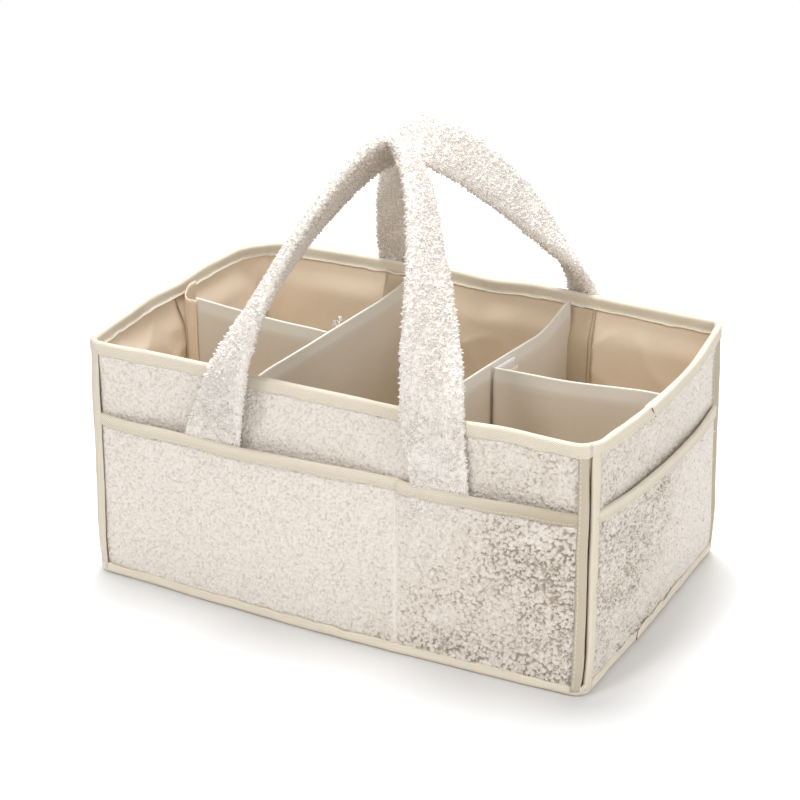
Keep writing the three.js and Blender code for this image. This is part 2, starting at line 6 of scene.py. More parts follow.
import bpy
import numpy as np
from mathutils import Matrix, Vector

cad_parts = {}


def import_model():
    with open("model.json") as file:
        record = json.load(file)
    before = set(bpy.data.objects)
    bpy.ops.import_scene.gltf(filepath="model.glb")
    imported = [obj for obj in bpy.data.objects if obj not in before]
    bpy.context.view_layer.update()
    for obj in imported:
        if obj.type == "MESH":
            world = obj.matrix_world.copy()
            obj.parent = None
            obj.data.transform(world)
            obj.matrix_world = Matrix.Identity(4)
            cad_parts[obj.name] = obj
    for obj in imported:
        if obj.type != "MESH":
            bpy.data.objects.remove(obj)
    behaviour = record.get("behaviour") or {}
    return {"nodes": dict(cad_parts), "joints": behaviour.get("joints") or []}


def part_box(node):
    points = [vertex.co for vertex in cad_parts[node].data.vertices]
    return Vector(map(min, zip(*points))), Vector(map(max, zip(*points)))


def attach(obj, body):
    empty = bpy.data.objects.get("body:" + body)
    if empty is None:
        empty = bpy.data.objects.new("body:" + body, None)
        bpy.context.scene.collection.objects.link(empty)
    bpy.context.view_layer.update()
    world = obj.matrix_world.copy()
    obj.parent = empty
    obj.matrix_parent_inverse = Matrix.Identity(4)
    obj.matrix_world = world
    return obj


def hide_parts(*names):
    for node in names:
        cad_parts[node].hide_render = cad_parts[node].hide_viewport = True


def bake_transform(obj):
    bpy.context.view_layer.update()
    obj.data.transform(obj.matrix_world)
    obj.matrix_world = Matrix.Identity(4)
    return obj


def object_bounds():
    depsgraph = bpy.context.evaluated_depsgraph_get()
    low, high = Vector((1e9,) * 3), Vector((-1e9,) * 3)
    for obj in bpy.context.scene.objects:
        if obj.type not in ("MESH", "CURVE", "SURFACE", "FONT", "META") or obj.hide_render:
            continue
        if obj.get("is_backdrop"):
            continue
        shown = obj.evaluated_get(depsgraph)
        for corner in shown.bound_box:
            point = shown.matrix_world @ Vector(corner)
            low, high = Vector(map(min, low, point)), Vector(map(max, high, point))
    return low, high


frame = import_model()
cad_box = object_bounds()

MM = 0.001


def box_mm(node):
    """A node's lowest and highest corners."""
    return [np.array(corner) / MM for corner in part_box(node)]


# Sizes read from the frame
RIM_LOW, RIM_HIGH = box_mm("rim_tape")
HALF_LENGTH, HALF_DEPTH, HEIGHT = RIM_HIGH
RIM_BOTTOM = RIM_LOW[2]
BASE_TAPE_TOP = box_mm("base_tape")[1][2]
MOUTH_TAPE_BOTTOM = box_mm("front_pocket_tape")[0][2]
MOUTH = box_mm("front_pocket_tape")[1][2]
BOARD_DEPTH = HALF_DEPTH + box_mm("front_board")[0][1]
BOARD_THICKNESS = np.ptp([corner[1] for corner in box_mm("front_board")])
LINING_DEPTH = HALF_LENGTH - box_mm("wall_lining")[1][0]
FLOOR = box_mm("base_lining")[1][2]
HINGE_Y = -frame["joints"][0]["pos_m"][1] / MM
HINGE_Z = frame["joints"][0]["pos_m"][2] / MM

# How the soft body departs from a straight box
BASE_FLARE = 2.5
RIM_WAVE = 1.4
RIM_WAVE_LENGTH = 38.0
WALL_SWELL = {"front": (6.0, 1.0), "right": (1.0, 7.0), "back": (2.0, 4.0), "left": (1.0, 9.0)}
END_LEAN = {"left": 2.0, "right": 2.0}
CORNER_PULL = 2.5
PULL_START = 30.0
PULL_REACH = 90.0
BACK_RISE = 2.5
RISE_START = 10.0
RISE_REACH = 105.0
LEAN_START = 90.0
LEAN_REACH = 95.0
LEAN_HEIGHT = 35.0
CORNER_RADII = {  # at the base, half way up and at the rim
    "front_left": (10, 6, 9),
    "front_right": (11, 6, 15),
    "back_right": (9, 8, 8),
    "back_left": (9, 8, 38),
}
BASE_ROUNDING = 24.0
ROUNDING_START = 132.0
RIM_DRAW = 0.58
RIM_DRAW_START = 148.0
RIM_DRAW_REACH = 26.0
SLIT = 1.3
BACK_TRIM = 13.0
TRIM_WIDTH = 75.0
TRIM_REACH = 60.0
TRIM_START = 10.0
TRIM_HEIGHT = 175.0
SPREAD_UNDER = 4.0
SPREAD_SINK = 3.6
FRONT_EXTRA = 1.4

# Cloth
LINING_THICKNESS = 0.7
BASE_CLOTH_THICKNESS = 0.9
CLOTH_THICKNESS = 1.0
TAPE_THICKNESS = 0.8
CORNER_TAPE_WIDTH = 8.5
NARROW_TAPE = 7.2
PILE_STEP = 0.88
STRAP_STEP = 1.1
STRAP_COLUMNS = 90
FINE_PELLET = 1.9
COARSE_PELLET = 2.6
FINE_HEIGHT = 0.75
COARSE_HEIGHT = 2.1
BACK_STEP = 12
NUB_SIZES = ((0.55, 1.0), (0.5, 0.85), (0.8, 1.7))  # least and most, along, across and up
NUB_TIPS = 6
# Painted shade in the boucle's colour: on its back face, among fine pellets, in hollows among clumps, over
# clumps and in patches
BACKING_SHADE = 0.5
FINE_SHADE = 0.5
HOLLOW_SHADE = 0.85
CLUMP_SHADE = 0.14
PATCH_SHADE = 0.2
DIMMED_TONE = 1.6
STRAY_NUBS = 0.25
SQUARE_CM = 100
PATCH_WAVES = ((1.0, 11, 9, 2), (0.5, 5, 4.5, 4))
FLAT_WAVES = ((1.0, 40, 33, 0), (0.5, 15, 17, 1))
COVER_WAVES = ((0.8, 60, 70, 0), (0.35, 20, 34, 1))
STRAP_CLUMPS = 0.6
STRAP_PILE = 2.0
# Painted shade on a strap's inner face, under its crown
INNER_PAINTED_SHADE = {"front": 0.42, "rear": 0.0}

# Pockets: how far they bow, where the long ones are sewn through and how their mouths slope
FRONT_BOW = 7.0
SIDE_BOW = 4.5
POCKET_SEAM = 54.0
MOUTH_RISE = {"front": (-0.5, 7.0), "right": (6.5, -1.5), "back": (-1.5, 2.0), "left": (2.0, -0.5)}
MOUTH_WAVE = 0.6
MOUTH_WAVE_LENGTH = 30.0

# Strap handles: where each leg's middle is at its pocket's mouth and at the rim, and how it sets off
STRAP_LEGS = {  # mouth, rim, slope, pull and crown pull of the left and the right leg
    "front": ((-88.0, -70.0, 0.21, 53.0, 28.0), (87.0, 83.0, 0.08, 67.0, 22.5)),
    "rear": ((-89.0, -76.5, 0.13, 40.0, 37.0), (88.0, 70.0, 0.11, 40.0, 37.0)),
}
LEG_TILT = 0.15
LEG_TWISTS = {  # degrees at shares of the way from the wall to the crown, of the left and the right leg
    "front": (
        ((0, 0.2, 0.46, 0.7, 0.85, 1), (0, 28, 57, 68, 77, 90)),
        ((0, 0.2, 0.4, 0.6, 0.85, 1), (0, 18, 48, 71, 86, 90)),
    ),
    "rear": (
        ((0, 0.2, 0.4, 0.6, 0.85, 1), (0, 26, 52, 72, 86, 90)),
        ((0, 0.2, 0.4, 0.6, 0.85, 1), (0, 14, 45, 70, 86, 90)),
    ),
}
STRAP_CROWN_Y = -17.0
STRAP_CROWN_Z = {"front": 320.5, "rear": 318.5}
STRAP_WIDTH = 43.0
STRAP_TOP_WIDTH = 38.0
STRAP_THICKNESS = 9.0
STRAP_TOP_THICKNESS = 11.0
FOOT_THICKNESS = 4.5
FOOT_BOTTOM = 112.0
TWIST_START = 134.0
PAD_START = 130.0
PAD_REACH = 70.0
TILT_START = 175.0
TILT_REACH = 60.0
RIM_TURNS = {"front": (28, 18), "rear": (26, 14)}
LEFT_GATHER = {"front": 0.0, "rear": 0.28}  # the share of its width that a left leg loses at the rim
GATHER_HEIGHT = 192.0
GATHER_REACH = 34.0
LEG_GAP = 0.5
LEG_POINTS = 240
EDGE_SHARE = 0.4
OVAL_POINTS = 721
OVAL_POWERS = (0.75, 0.6)
STRAP_PINCH = 0.05


def smooth(value):
    """A soft step: 0 up to 0, rising to 1 at 1."""
    t = np.clip(value, 0, 1)
    return t * t * (3 - 2 * t)


def bell(value):
    """1 at 0, falling off to either side."""
    return np.exp(-(value**2))


# Noise
LATTICE_SIZE = 64
LATTICE = np.random.default_rng(11).random((LATTICE_SIZE, LATTICE_SIZE))
SEED_SHIFT = (17.3, 9.1)


def noise(x, y, seed):
    """Smooth noise from -1 to 1, with features about one unit across."""
    shifted = [np.asarray(v, float) + shift * seed for v, shift in zip((x, y), SEED_SHIFT)]
    x, y = np.broadcast_arrays(*shifted)
    column, row = np.floor(x).astype(int), np.floor(y).astype(int)
    fx, fy = smooth(x - column), smooth(y - row)

    def corner(i, j):
        return LATTICE[(column + i) % LATTICE_SIZE, (row + j) % LATTICE_SIZE]

    low = corner(0, 0) * (1 - fx) + corner(1, 0) * fx
    high = corner(0, 1) * (1 - fx) + corner(1, 1) * fx
    return 2 * (low * (1 - fy) + high * fy) - 1


def ripples(x, y, waves, seed):
    """Several noises together. waves holds each one's height, lengths along x and y, and own seed."""
    return sum(height * noise(x / along, y / up, seed + own) for height, along, up, own in waves)


PELLET_KINDS = np.random.default_rng(5).random((5, 4099))
PELLET_STRIDES = (73, 1361, 517)
PELLET_WARP = 0.25
WARP_PITCH = 1.3


def pellets(x, y, cell, seed):
    """A carpet of small round pellets: its height from 0 to 1, and each pellet's own tone from 0 to 1."""
    jitter_x, jitter_y, breadth, tallness, tone = PELLET_KINDS
    column_stride, row_stride, seed_stride = PELLET_STRIDES
    x = x / cell + PELLET_WARP * noise(x / cell * WARP_PITCH, y / cell * WARP_PITCH, seed)
    y = y / cell + PELLET_WARP * noise(x * WARP_PITCH, y / cell * WARP_PITCH, seed + 3)
    column, row = np.floor(x).astype(int), np.floor(y).astype(int)
    tallest, shade = np.zeros(x.shape), np.zeros(x.shape)
    for i in (-1, 0, 1):
        for j in (-1, 0, 1):
            kind = (column + i) * column_stride + (row + j) * row_stride + seed * seed_stride
            kind = kind % PELLET_KINDS.shape[1]
            away = (x - column - i - jitter_x[kind]) ** 2 + (y - row - j - jitter_y[kind]) ** 2
            radius = 0.5 + 0.3 * breadth[kind]
            dome = (0.5 + 0.5 * tallness[kind]) * np.sqrt(np.maximum(1 - away / radius**2, 0))
            shade = np.where(dome > tallest, tone[kind], shade)
            tallest = np.maximum(dome, tallest)
    return tallest, shade


# Walls


def rim_draw(z):
    """The share left of a depth into a wall, whose layers are drawn together near the rim."""
    return 1 - RIM_DRAW * smooth((z - RIM_DRAW_START) / RIM_DRAW_REACH)


def drawn(depth, z):
    """The depth to ask a wall for, near its rim, to land at a true depth."""
    return depth / rim_draw(z)


class Wall:
    """One side of the body, as it faces -Y before it is turned into place."""

    def __init__(self, name, quarter_turns, reach, face, corners):
        self.name, self.reach, self.face, self.corners = name, reach, face, corners
        self.turn = quarter_turns * math.pi / 2

    def place(self, u, depth, z):
        """Points u along the wall and depth inwards from its outside, on the soft body."""
        u, depth, z = np.broadcast_arrays(*[np.asarray(v, float) for v in (u, depth, z)])
        depth = depth * rim_draw(z)
        up = np.clip(z / HEIGHT, 0, 1)
        flare = BASE_FLARE * (1 - up) ** 3
        reach = self.reach + flare
        u = u * (reach / self.reach)
        radii = [CORNER_RADII[name] for name in self.corners]
        at_base = 1 - smooth(z / BASE_ROUNDING)
        at_rim = smooth((z - ROUNDING_START) / (HEIGHT - ROUNDING_START))
        radius = np.where(u < 0, *[
            middle + (base - middle) * at_base + (top - middle) * at_rim for base, middle, top in radii
        ])
        angle = np.clip((np.abs(u) - (reach - radius)) / radius, 0, 1) * math.pi / 4
        inner = np.maximum(radius - depth, 0)
        straight = reach - np.maximum(radius, depth)
        x = np.sign(u) * (np.minimum(np.abs(u), straight) + inner * np.sin(angle))
        middle = np.cos(math.pi / 2 * np.clip(u / reach, -1, 1))
        y = -(self.face + flare + self.swell(u, z) - depth - inner * (1 - np.cos(angle)))
        z = z + RIM_WAVE * noise(u / RIM_WAVE_LENGTH, 0.5, len(self.name)) * middle**0.3 * up**6
        return settled(self.turned(np.stack([x, y, z], -1)))

    def swell(self, u, z):
        """How far the wall bows out between its corners, from its base to its rim."""
        at_base, at_rim = WALL_SWELL[self.name]
        up = np.clip(np.asarray(z, float) / HEIGHT, 0, 1)
        return (at_base + (at_rim - at_base) * up) * np.cos(math.pi / 2 * np.clip(u / self.reach, -1, 1))

    def turned(self, points):
        """Points that face -Y, turned to face the wall's own way."""
        c, s = math.cos(self.turn), math.sin(self.turn)
        x, y, z = points[..., 0], points[..., 1], points[..., 2]
        return np.stack([x * c - y * s, x * s + y * c, z], -1)


def settled(points):
    """How the body has settled: its ends lean out, its back is higher, its back right corner drawn in."""
    x, y, z = points[..., 0], points[..., 1], points[..., 2]
    up = np.clip(z / HEIGHT, 0, 1)
    right_lean = END_LEAN["right"] - CORNER_PULL * smooth((y - PULL_START) / PULL_REACH) * up**2.5
    to_right, to_left = [smooth((side * x - LEAN_START) / LEAN_REACH) for side in (1, -1)]
    lean = right_lean * to_right - END_LEAN["left"] * to_left
    rise = BACK_RISE * smooth((y - RISE_START) / RISE_REACH) * up**4
    return np.stack([x + lean * smooth(z / LEAN_HEIGHT), y, z + rise], -1)


FRONT = Wall("front", 0, HALF_LENGTH, HALF_DEPTH, ("front_left", "front_right"))
RIGHT = Wall("right", 1, HALF_DEPTH, HALF_LENGTH, ("front_right", "back_right"))
BACK = Wall("back", 2, HALF_LENGTH, HALF_DEPTH, ("back_right", "back_left"))
LEFT = Wall("left", 3, HALF_DEPTH, HALF_LENGTH, ("back_left", "front_left"))
WALLS = (FRONT, RIGHT, BACK, LEFT)
POCKET_SEAMS = {"front": [POCKET_SEAM], "back": [POCKET_SEAM], "left": [], "right": []}
POCKET_BOWS = {"front": FRONT_BOW, "back": FRONT_BOW, "left": SIDE_BOW, "right": SIDE_BOW}


def mouth_height(wall, u):
    """The height of a pocket's mouth, which slopes a little along its wall."""
    at_left, at_right = MOUTH_RISE[wall.name]
    slope = (at_right - at_left) * (u / wall.reach + 1) / 2
    return MOUTH + at_left + slope + MOUTH_WAVE * noise(u / MOUTH_WAVE_LENGTH, 2.5, 4)


def pocket_bow(wall, u, z):
    """How far a pocket stands off its wall: least at its seams, most at its mouth between them."""
    open_half = wall.reach - CORNER_TAPE_WIDTH
    seams = np.array([-open_half, *POCKET_SEAMS[wall.name], open_half])
    cell = np.clip(np.searchsorted(seams, u) - 1, 0, len(seams) - 2)
    across = np.sin(math.pi * np.clip((u - seams[cell]) / (seams[cell + 1] - seams[cell]), 0, 1))
    up = smooth((z - BASE_TAPE_TOP) / (MOUTH - BASE_TAPE_TOP))
    return POCKET_BOWS[wall.name] * np.sqrt(np.maximum(across, 0)) * up


# Meshes


def paired(first, second):
    """Two coordinates for each point of a grid."""
    return np.stack(np.broadcast_arrays(first, second), -1)


def run_along(line):
    """How far along a line each of its points is."""
    return np.append(0, np.cumsum(np.linalg.norm(np.diff(line, axis=0), axis=1)))


def points_at(places, run, line):
    """The points at some distances along a line whose own points are at run."""
    return np.stack([np.interp(places, run, line[:, k]) for k in range(3)], -1)


def resample(line, step):
    """A line with its points spread evenly, about a step apart."""
    run = run_along(line)
    return points_at(np.linspace(0, run[-1], int(run[-1] / step) + 1), run, line)


def round_length(profile):
    """How far round a section each of its points is."""
    return np.cumsum(np.hypot(*np.diff(profile, axis=0, prepend=profile[:1]).T))


def linked(name, data):
    """A new object in the scene."""
    thing = bpy.data.objects.new(name, data)
    bpy.context.scene.collection.objects.link(thing)
    return thing


def make_piece(name, points, faces, material, weave=None, values=None):
    """A smooth-shaded mesh piece. weave is a flat coordinate for each point, values are named shades."""
    mesh = bpy.data.meshes.new(name)
    mesh.from_pydata((np.asarray(points).reshape(-1, 3) * MM).tolist(), [], faces, shade_flat=False)
    if weave is not None:
        corners = np.zeros(len(mesh.loops), np.int32)
        mesh.loops.foreach_get("vertex_index", corners)
        layer = mesh.uv_layers.new(name="weave")
        layer.data.foreach_set("uv", (np.asarray(weave).reshape(-1, 2)[corners] * MM).ravel())
    for key, value in (values or {}).items():
        attribute = mesh.attributes.new(key, "FLOAT", "POINT")
        attribute.data.foreach_set("value", np.asarray(value, np.float32).ravel())
    mesh.materials.append(material)
    return linked(name, mesh)


def cloth(piece, width, length, *rests_on):
    """Gives back the piece as it is, a cloth cut with seam allowances and sewn on tight. width, length and
    rests_on are not used.
    """
    return piece


def belong(piece, body, slot, *nodes):
    """A piece rides on a body, and stands for nodes of the frame."""
    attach(piece, body)
    stand_for(piece, slot, *nodes)
    return piece


def stand_for(piece, slot, *nodes):
    """A piece stands for nodes of the frame, which it hides; slot is not used. Stitches and gaps stand for
    none.
    """
    if nodes:
        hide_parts(*nodes)


def grid_faces(rows, columns, wrap_rows=False, wrap_columns=False, start=0):
    """Four-sided faces over a grid of points, which may close on itself either way."""
    r, c = np.meshgrid(
        np.arange(rows if wrap_rows else rows - 1),
        np.arange(columns if wrap_columns else columns - 1),
        indexing="ij",
    )
    r1, c1 = (r + 1) % rows, (c + 1) % columns
    quads = np.stack([r * columns + c, r * columns + c1, r1 * columns + c1, r1 * columns + c], -1)
    return (quads.reshape(-1, 4) + start).tolist()


def unit(vectors):
    """Vectors brought to a length of 1."""
    return vectors / np.maximum(np.linalg.norm(vectors, axis=-1, keepdims=True), 1e-9)


def grid_normals(points, wrap_columns=False):
    """The outward normal at each point of a grid whose rows run up and columns run right."""
    if wrap_columns:
        padded = np.concatenate([points[:, -1:], points, points[:, :1]], axis=1)
        right = (padded[:, 2:] - padded[:, :-2]) / 2
    else:
        right = np.gradient(points, axis=1)
    return unit(np.cross(right, np.gradient(points, axis=0)))


def stops(count, step):
    """Every step-th place along a row of count, both ends among them."""
    return np.unique(np.append(np.arange(0, count - 1, step), count - 1))


def backed_faces(rows, columns, row_stops, column_stops):
    """Faces of a closed sheet: a fine front grid, a coarse back grid and the rim between them."""
    back_start = rows * columns
    back_rows, back_columns = len(row_stops), len(column_stops)
    faces = grid_faces(rows, columns)
    faces += [quad[::-1] for quad in grid_faces(back_rows, back_columns, start=back_start)]

    def loop(row_list, column_list):
        last_row, last_column = row_list[-1], column_list[-1]
        return (
            [(0, c) for c in column_list[:-1]]
            + [(r, last_column) for r in row_list[:-1]]
            + [(last_row, c) for c in column_list[:0:-1]]
            + [(r, 0) for r in row_list[:0:-1]]
        )

    fine = [r * columns + c for r, c in loop(range(rows), range(columns))]
    where = {index: k for k, index in enumerate(fine)}
    kept = [where[r * columns + c] for r, c in loop(list(row_stops), list(column_stops))]
    coarse = [back_start + r * back_columns + c for r, c in loop(range(back_rows), range(back_columns))]
    for k, first in enumerate(kept):
        last = kept[(k + 1) % len(kept)] or len(fine)
        for j in range(first, last):
            faces.append((fine[(j + 1) % len(fine)], fine[j], coarse[k]))
        faces.append((fine[last % len(fine)], coarse[k], coarse[(k + 1) % len(coarse)]))
    return faces


def slab(name, front, back, material, weave=None):
    """A thin closed piece between two matching grids."""
    rows, columns = front.shape[:2]
    points = np.concatenate([front.reshape(-1, 3), back.reshape(-1, 3)])
    faces = backed_faces(rows, columns, stops(rows, 1), stops(columns, 1))
    if weave is not None:
        weave = np.tile(weave.reshape(-1, 2), (2, 1))
    return make_piece(name, points, faces, material, weave)


def tube_faces(count, ring):
    """Faces of a tube of count rings, both its ends capped."""
    caps = [tuple(range(ring))[::-1], tuple(range((count - 1) * ring, count * ring))]
    return grid_faces(count, ring, wrap_columns=True) + caps


def swept(name, stations, material, weave, closed, values=None):
    """A tube of matching sections along a path. An open one is capped."""
    count, ring = stations.shape[:2]
    if closed:
        faces = grid_faces(count, ring, wrap_rows=True, wrap_columns=True)
    else:
        faces = tube_faces(count, ring)
    return make_piece(name, stations, faces, material, weave, values)


def nubs(points, normals, along, rng, swelling, start):
    """Small round nubs of yarn that stand out of the pile, each a closed ball of eight faces."""
    count = len(points)
    spin = rng.uniform(0, 2 * math.pi, count)[:, None]
    side = unit(np.cos(spin) * along + np.sin(spin) * np.cross(normals, along))
    axes = (side, np.cross(normals, side), normals)
    sizes = [swelling * rng.uniform(low, high, count)[:, None] for low, high in NUB_SIZES]
    tips = [points + sign * axis * size for axis, size in zip(axes, sizes) for sign in (1, -1)]
    vertices = np.stack(tips, 1)
    pattern = [(0, 2, 4), (2, 1, 4), (1, 3, 4), (3, 0, 4), (2, 0, 5), (1, 2, 5), (3, 1, 5), (0, 3, 5)]
    corners = np.array(pattern)[None] + (start + NUB_TIPS * np.arange(count))[:, None, None]
    return vertices.reshape(-1, 3), corners.reshape(-1, 3).tolist()


PANEL_PILE = {
    "nubs": 9, "swelling": 1.1, "brightness": 0.8, "evenness": 0.15, "shadow": 1.1, "merging": 0.8,
}
# Painted light: the straps are painted paler than the panels, with less painted shade among their pellets,
# though they are the same cloth, for the light they catch
STRAP_NAP = {
    "nubs": 34, "swelling": 1.25, "brightness": 1.8, "evenness": 0.65, "shadow": 0.35, "merging": 0.3,
}


def pile_on(base, normals, u, v, fuzz, clumps, seed, nap, painted_shade=0.0):
    """Raises boucle pile on a grid. Gives the raised grid, its painted shades, darker down among the
    pellets, and where nubs stand out of it.
    """
    fine, tone = pellets(u, v, FINE_PELLET, seed)
    coarse, clump_tone = pellets(u, v, COARSE_PELLET, seed + 7)
    merged = nap["merging"] * np.clip(clumps, 0, 1)
    tone = tone + (clump_tone - tone) * merged
    lift = fuzz * (FINE_HEIGHT * fine * (1 - merged) + COARSE_HEIGHT * clumps * coarse)
    raised = base + normals * lift[..., None]
    patch = ripples(u, v, PATCH_WAVES, seed)
    # Painted shade where the pile is clumped: in the hollows among clumps, over the clumps and in patches
    gathered = clumps * fuzz * (HOLLOW_SHADE * (1 - coarse) + CLUMP_SHADE + PATCH_SHADE * patch)
    painted_shade = np.broadcast_to(painted_shade, u.shape)
    shade = 1 - painted_shade - nap["shadow"] * (FINE_SHADE * fuzz * (1 - fine) * (1 - merged) + gathered)
    rng = np.random.default_rng(seed)
    area = np.linalg.norm(np.cross(np.gradient(base, axis=0), np.gradient(base, axis=1)), axis=-1)
    crowd = area / SQUARE_CM * nap["nubs"] * (STRAY_NUBS + clumps) * (fuzz > 0.5)
    chosen = rng.random(base.shape[:2]) < crowd
    along = unit(np.gradient(base, axis=0))
    even = nap["evenness"]
    # Painted shade on a strap's inner face also dims its pellets' tone and its nubs
    tone = nap["brightness"] * (even + (1 - even) * tone) * (1 - DIMMED_TONE * painted_shade)
    sites = [values[chosen] for values in (raised, normals, along, tone, 1 - painted_shade)]
    return raised, shade, tone, (*sites, rng, nap["swelling"])


def trimmed(wall, u, z):
    """The right wall's cloth falls short of the back corner, more and more towards the rim."""
    return u - trim_at(z) * smooth((u - wall.reach + TRIM_WIDTH) / TRIM_REACH) * (wall is RIGHT)


def trim_at(z):
    """How far short the cloth falls at a height."""
    return BACK_TRIM * smooth((z - TRIM_START) / TRIM_HEIGHT)


def boucle_sheet(wall, kind, u_ends, z_of, depth_of, fuzz_of, length, seed):
    """A closed sheet of boucle cloth on a wall. z_of gives its lower and upper edge along u."""
    columns = int((u_ends[1] - u_ends[0]) / PILE_STEP) + 1
    u_line = np.linspace(*u_ends, columns)
    bottom, top = z_of(u_line)
    rows = int(np.max(top - bottom) / PILE_STEP) + 1
    share = np.linspace(0, 1, rows)[:, None]
    z = bottom + (top - bottom) * share
    whole = np.broadcast_to(u_line, (rows, columns))
    fuzz = fuzz_of(whole, z)
    u = trimmed(wall, whole, z)
    base = wall.place(u, depth_of(u, z), z)
    normals = grid_normals(base)
    row_stops, column_stops = stops(rows, BACK_STEP), stops(columns, BACK_STEP)
    back_at = np.ix_(row_stops, column_stops)
    back = wall.place(u[back_at], depth_of(u[back_at], z[back_at]) + CLOTH_THICKNESS, z[back_at])
    clumps = clumps_on(wall, u, z)
    raised, shade, tone, sites = pile_on(base, normals, u, z, fuzz, clumps, seed, PANEL_PILE)
    faces = backed_faces(rows, columns, row_stops, column_stops)
    points = np.concatenate([raised.reshape(-1, 3), back.reshape(-1, 3)])
    backing = np.full(back.shape[0] * back.shape[1], BACKING_SHADE)
    shades, tones = [np.concatenate([values.ravel(), backing]) for values in (shade, tone)]
    piece = boucle_piece(f"{wall.name}_{kind}_cloth", points, faces, shades, tones, sites)
    belong(piece, "caddy", "boucle", f"{wall.name}_{kind}")
    return cloth(piece, u_ends[1] - u_ends[0], length, f"{wall.name}_bent_board")


def boucle_piece(name, points, faces, shades, tones, sites):
    """A piece of boucle, with nubs of yarn added at its sites."""
    places, normals, along, nub_tones, nub_shades, rng, swelling = sites
    extra, extra_faces = nubs(places, normals, along, rng, swelling, len(points))
    points = np.concatenate([points, extra])
    shades = np.concatenate([shades, np.repeat(nub_shades, NUB_TIPS)])
    tones = np.concatenate([tones, np.repeat(nub_tones, NUB_TIPS)])
    return make_piece(name, points, faces + extra_faces, BOUCLE, values={"pile": shades, "tone": tones})


STITCH = (3.6, 2.5)  # from one stitch to the next, and a stitch's length
STITCH_SHARES = np.array([0.0, 0.25, 0.75, 1.0])
STITCH_LIFTS = np.array([-0.25, 0.16, 0.16, -0.25])
THREAD_RADIUS = 0.28
THREAD_SIDES = 5
OFF_AXIS = np.array([0.31, 0.52, 0.79])  # a direction that no thread runs in


def thread_piece(name, lines, radius, material):
    """Many short threads in one mesh. lines holds the points along each."""
    count, steps = lines.shape[:2]
    along = unit(np.gradient(lines, axis=1))
    side = unit(np.cross(along, OFF_AXIS))
    other = np.cross(along, side)
    turn = np.arange(THREAD_SIDES) * 2 * math.pi / THREAD_SIDES
    rings = lines[:, :, None] + radius * (
        side[:, :, None] * np.cos(turn)[:, None] + other[:, :, None] * np.sin(turn)[:, None]
    )
    tube, size = tube_faces(steps, THREAD_SIDES), steps * THREAD_SIDES
    faces = [tuple(v + k * size for v in face) for k in range(count) for face in tube]
    run = np.arange(count * size, dtype=float)
    return make_piece(name, rings, faces, material, paired(run, run))


def sew(name, stations, column, closed=False):
    """A row of stitches along one column of a swept tape."""
    path, outward = stations[:, column], grid_normals(stations, wrap_columns=True)[:, column]
    if closed:
        path, outward = np.concatenate([path, path[:1]]), np.concatenate([outward, outward[:1]])
    run = run_along(path)
    pitch, length = STITCH
    starts = np.arange(pitch, run[-1] - pitch, pitch)
    places = starts[:, None] + length * STITCH_SHARES
    lines = points_at(places, run, path) + points_at(places, run, outward) * STITCH_LIFTS[:, None]
    return belong(thread_piece(name, lines, THREAD_RADIUS, THREAD), "caddy", "twill_tape")


# Materials


BANDS_PER_SCALE = 3.2  # bands of a wave texture in each unit of its scale
TWILL_ANGLE = math.radians(40)


class Nodes:
    """The node tree of a new material or world, with short ways to add to it."""

    def __init__(self, name, kind="materials", shader="Principled BSDF"):
        self.owner = getattr(bpy.data, kind).new(name)
        self.owner.use_nodes = True
        self.tree = self.owner.node_tree
        self.shader = self.tree.nodes[shader]

    def feed(self, node, inputs):
        """Links a node's sockets to others, or sets them to plain values."""
        for socket, value in inputs.items():
            if isinstance(value, bpy.types.NodeSocket):
                self.tree.links.new(value, node.inputs[socket])
            else:
                node.inputs[socket].default_value = value
        return node

    def add(self, kind, inputs=None, **settings):
        node = self.tree.nodes.new(kind)
        for key, value in settings.items():
            setattr(node, key, value)
        return self.feed(node, inputs or {})

    def math(self, operation, first, second):
        return self.add("ShaderNodeMath", {0: first, 1: second}, operation=operation).outputs[0]

    def times(self, first, second):
        return self.math("MULTIPLY", first, second)

    def mix(self, share, first, second):
        """A colour between two, each from another node or given as red, green and blue."""
        colors = [c if isinstance(c, bpy.types.NodeSocket) else (*c, 1.0) for c in (first, second)]
        inputs = {0: share, 6: colors[0], 7: colors[1]}
        return self.add("ShaderNodeMix", inputs, data_type="RGBA").outputs[2]

    def ramp(self, factor, colors):
        node = self.add("ShaderNodeValToRGB", {0: factor})
        elements = node.color_ramp.elements
        while len(elements) < len(colors):
            elements.new(0.5)
        for element, (position, color) in zip(elements, colors):
            element.position = position
            element.color = (*color, 1.0)
        return node.outputs[0]

    def noise(self, place, scale, detail):
        inputs = {"Vector": place, "Scale": scale, "Detail": detail}
        return self.add("ShaderNodeTexNoise", inputs).outputs[0]

    def bands(self, place, pitch, direction, **inputs):
        inputs = {"Vector": place, "Scale": 1 / pitch / BANDS_PER_SCALE, **inputs}
        return self.add("ShaderNodeTexWave", inputs, bands_direction=direction).outputs[1]

    def attribute(self, name):
        return self.add("ShaderNodeAttribute", attribute_name=name).outputs["Fac"]

    def weave(self):
        return self.add("ShaderNodeUVMap", uv_map="weave").outputs[0]

    def object_place(self):
        return self.add("ShaderNodeTexCoord").outputs["Object"]

    def finish(self, color, bump, strength, distance, **values):
        relief = {"Strength": strength, "Distance": distance, "Height": bump}
        normal = self.add("ShaderNodeBump", relief).outputs[0]
        named = {key.replace("_", " "): value for key, value in values.items()}
        self.feed(self.shader, {"Base Color": color, "Normal": normal, **named})
        return self.owner


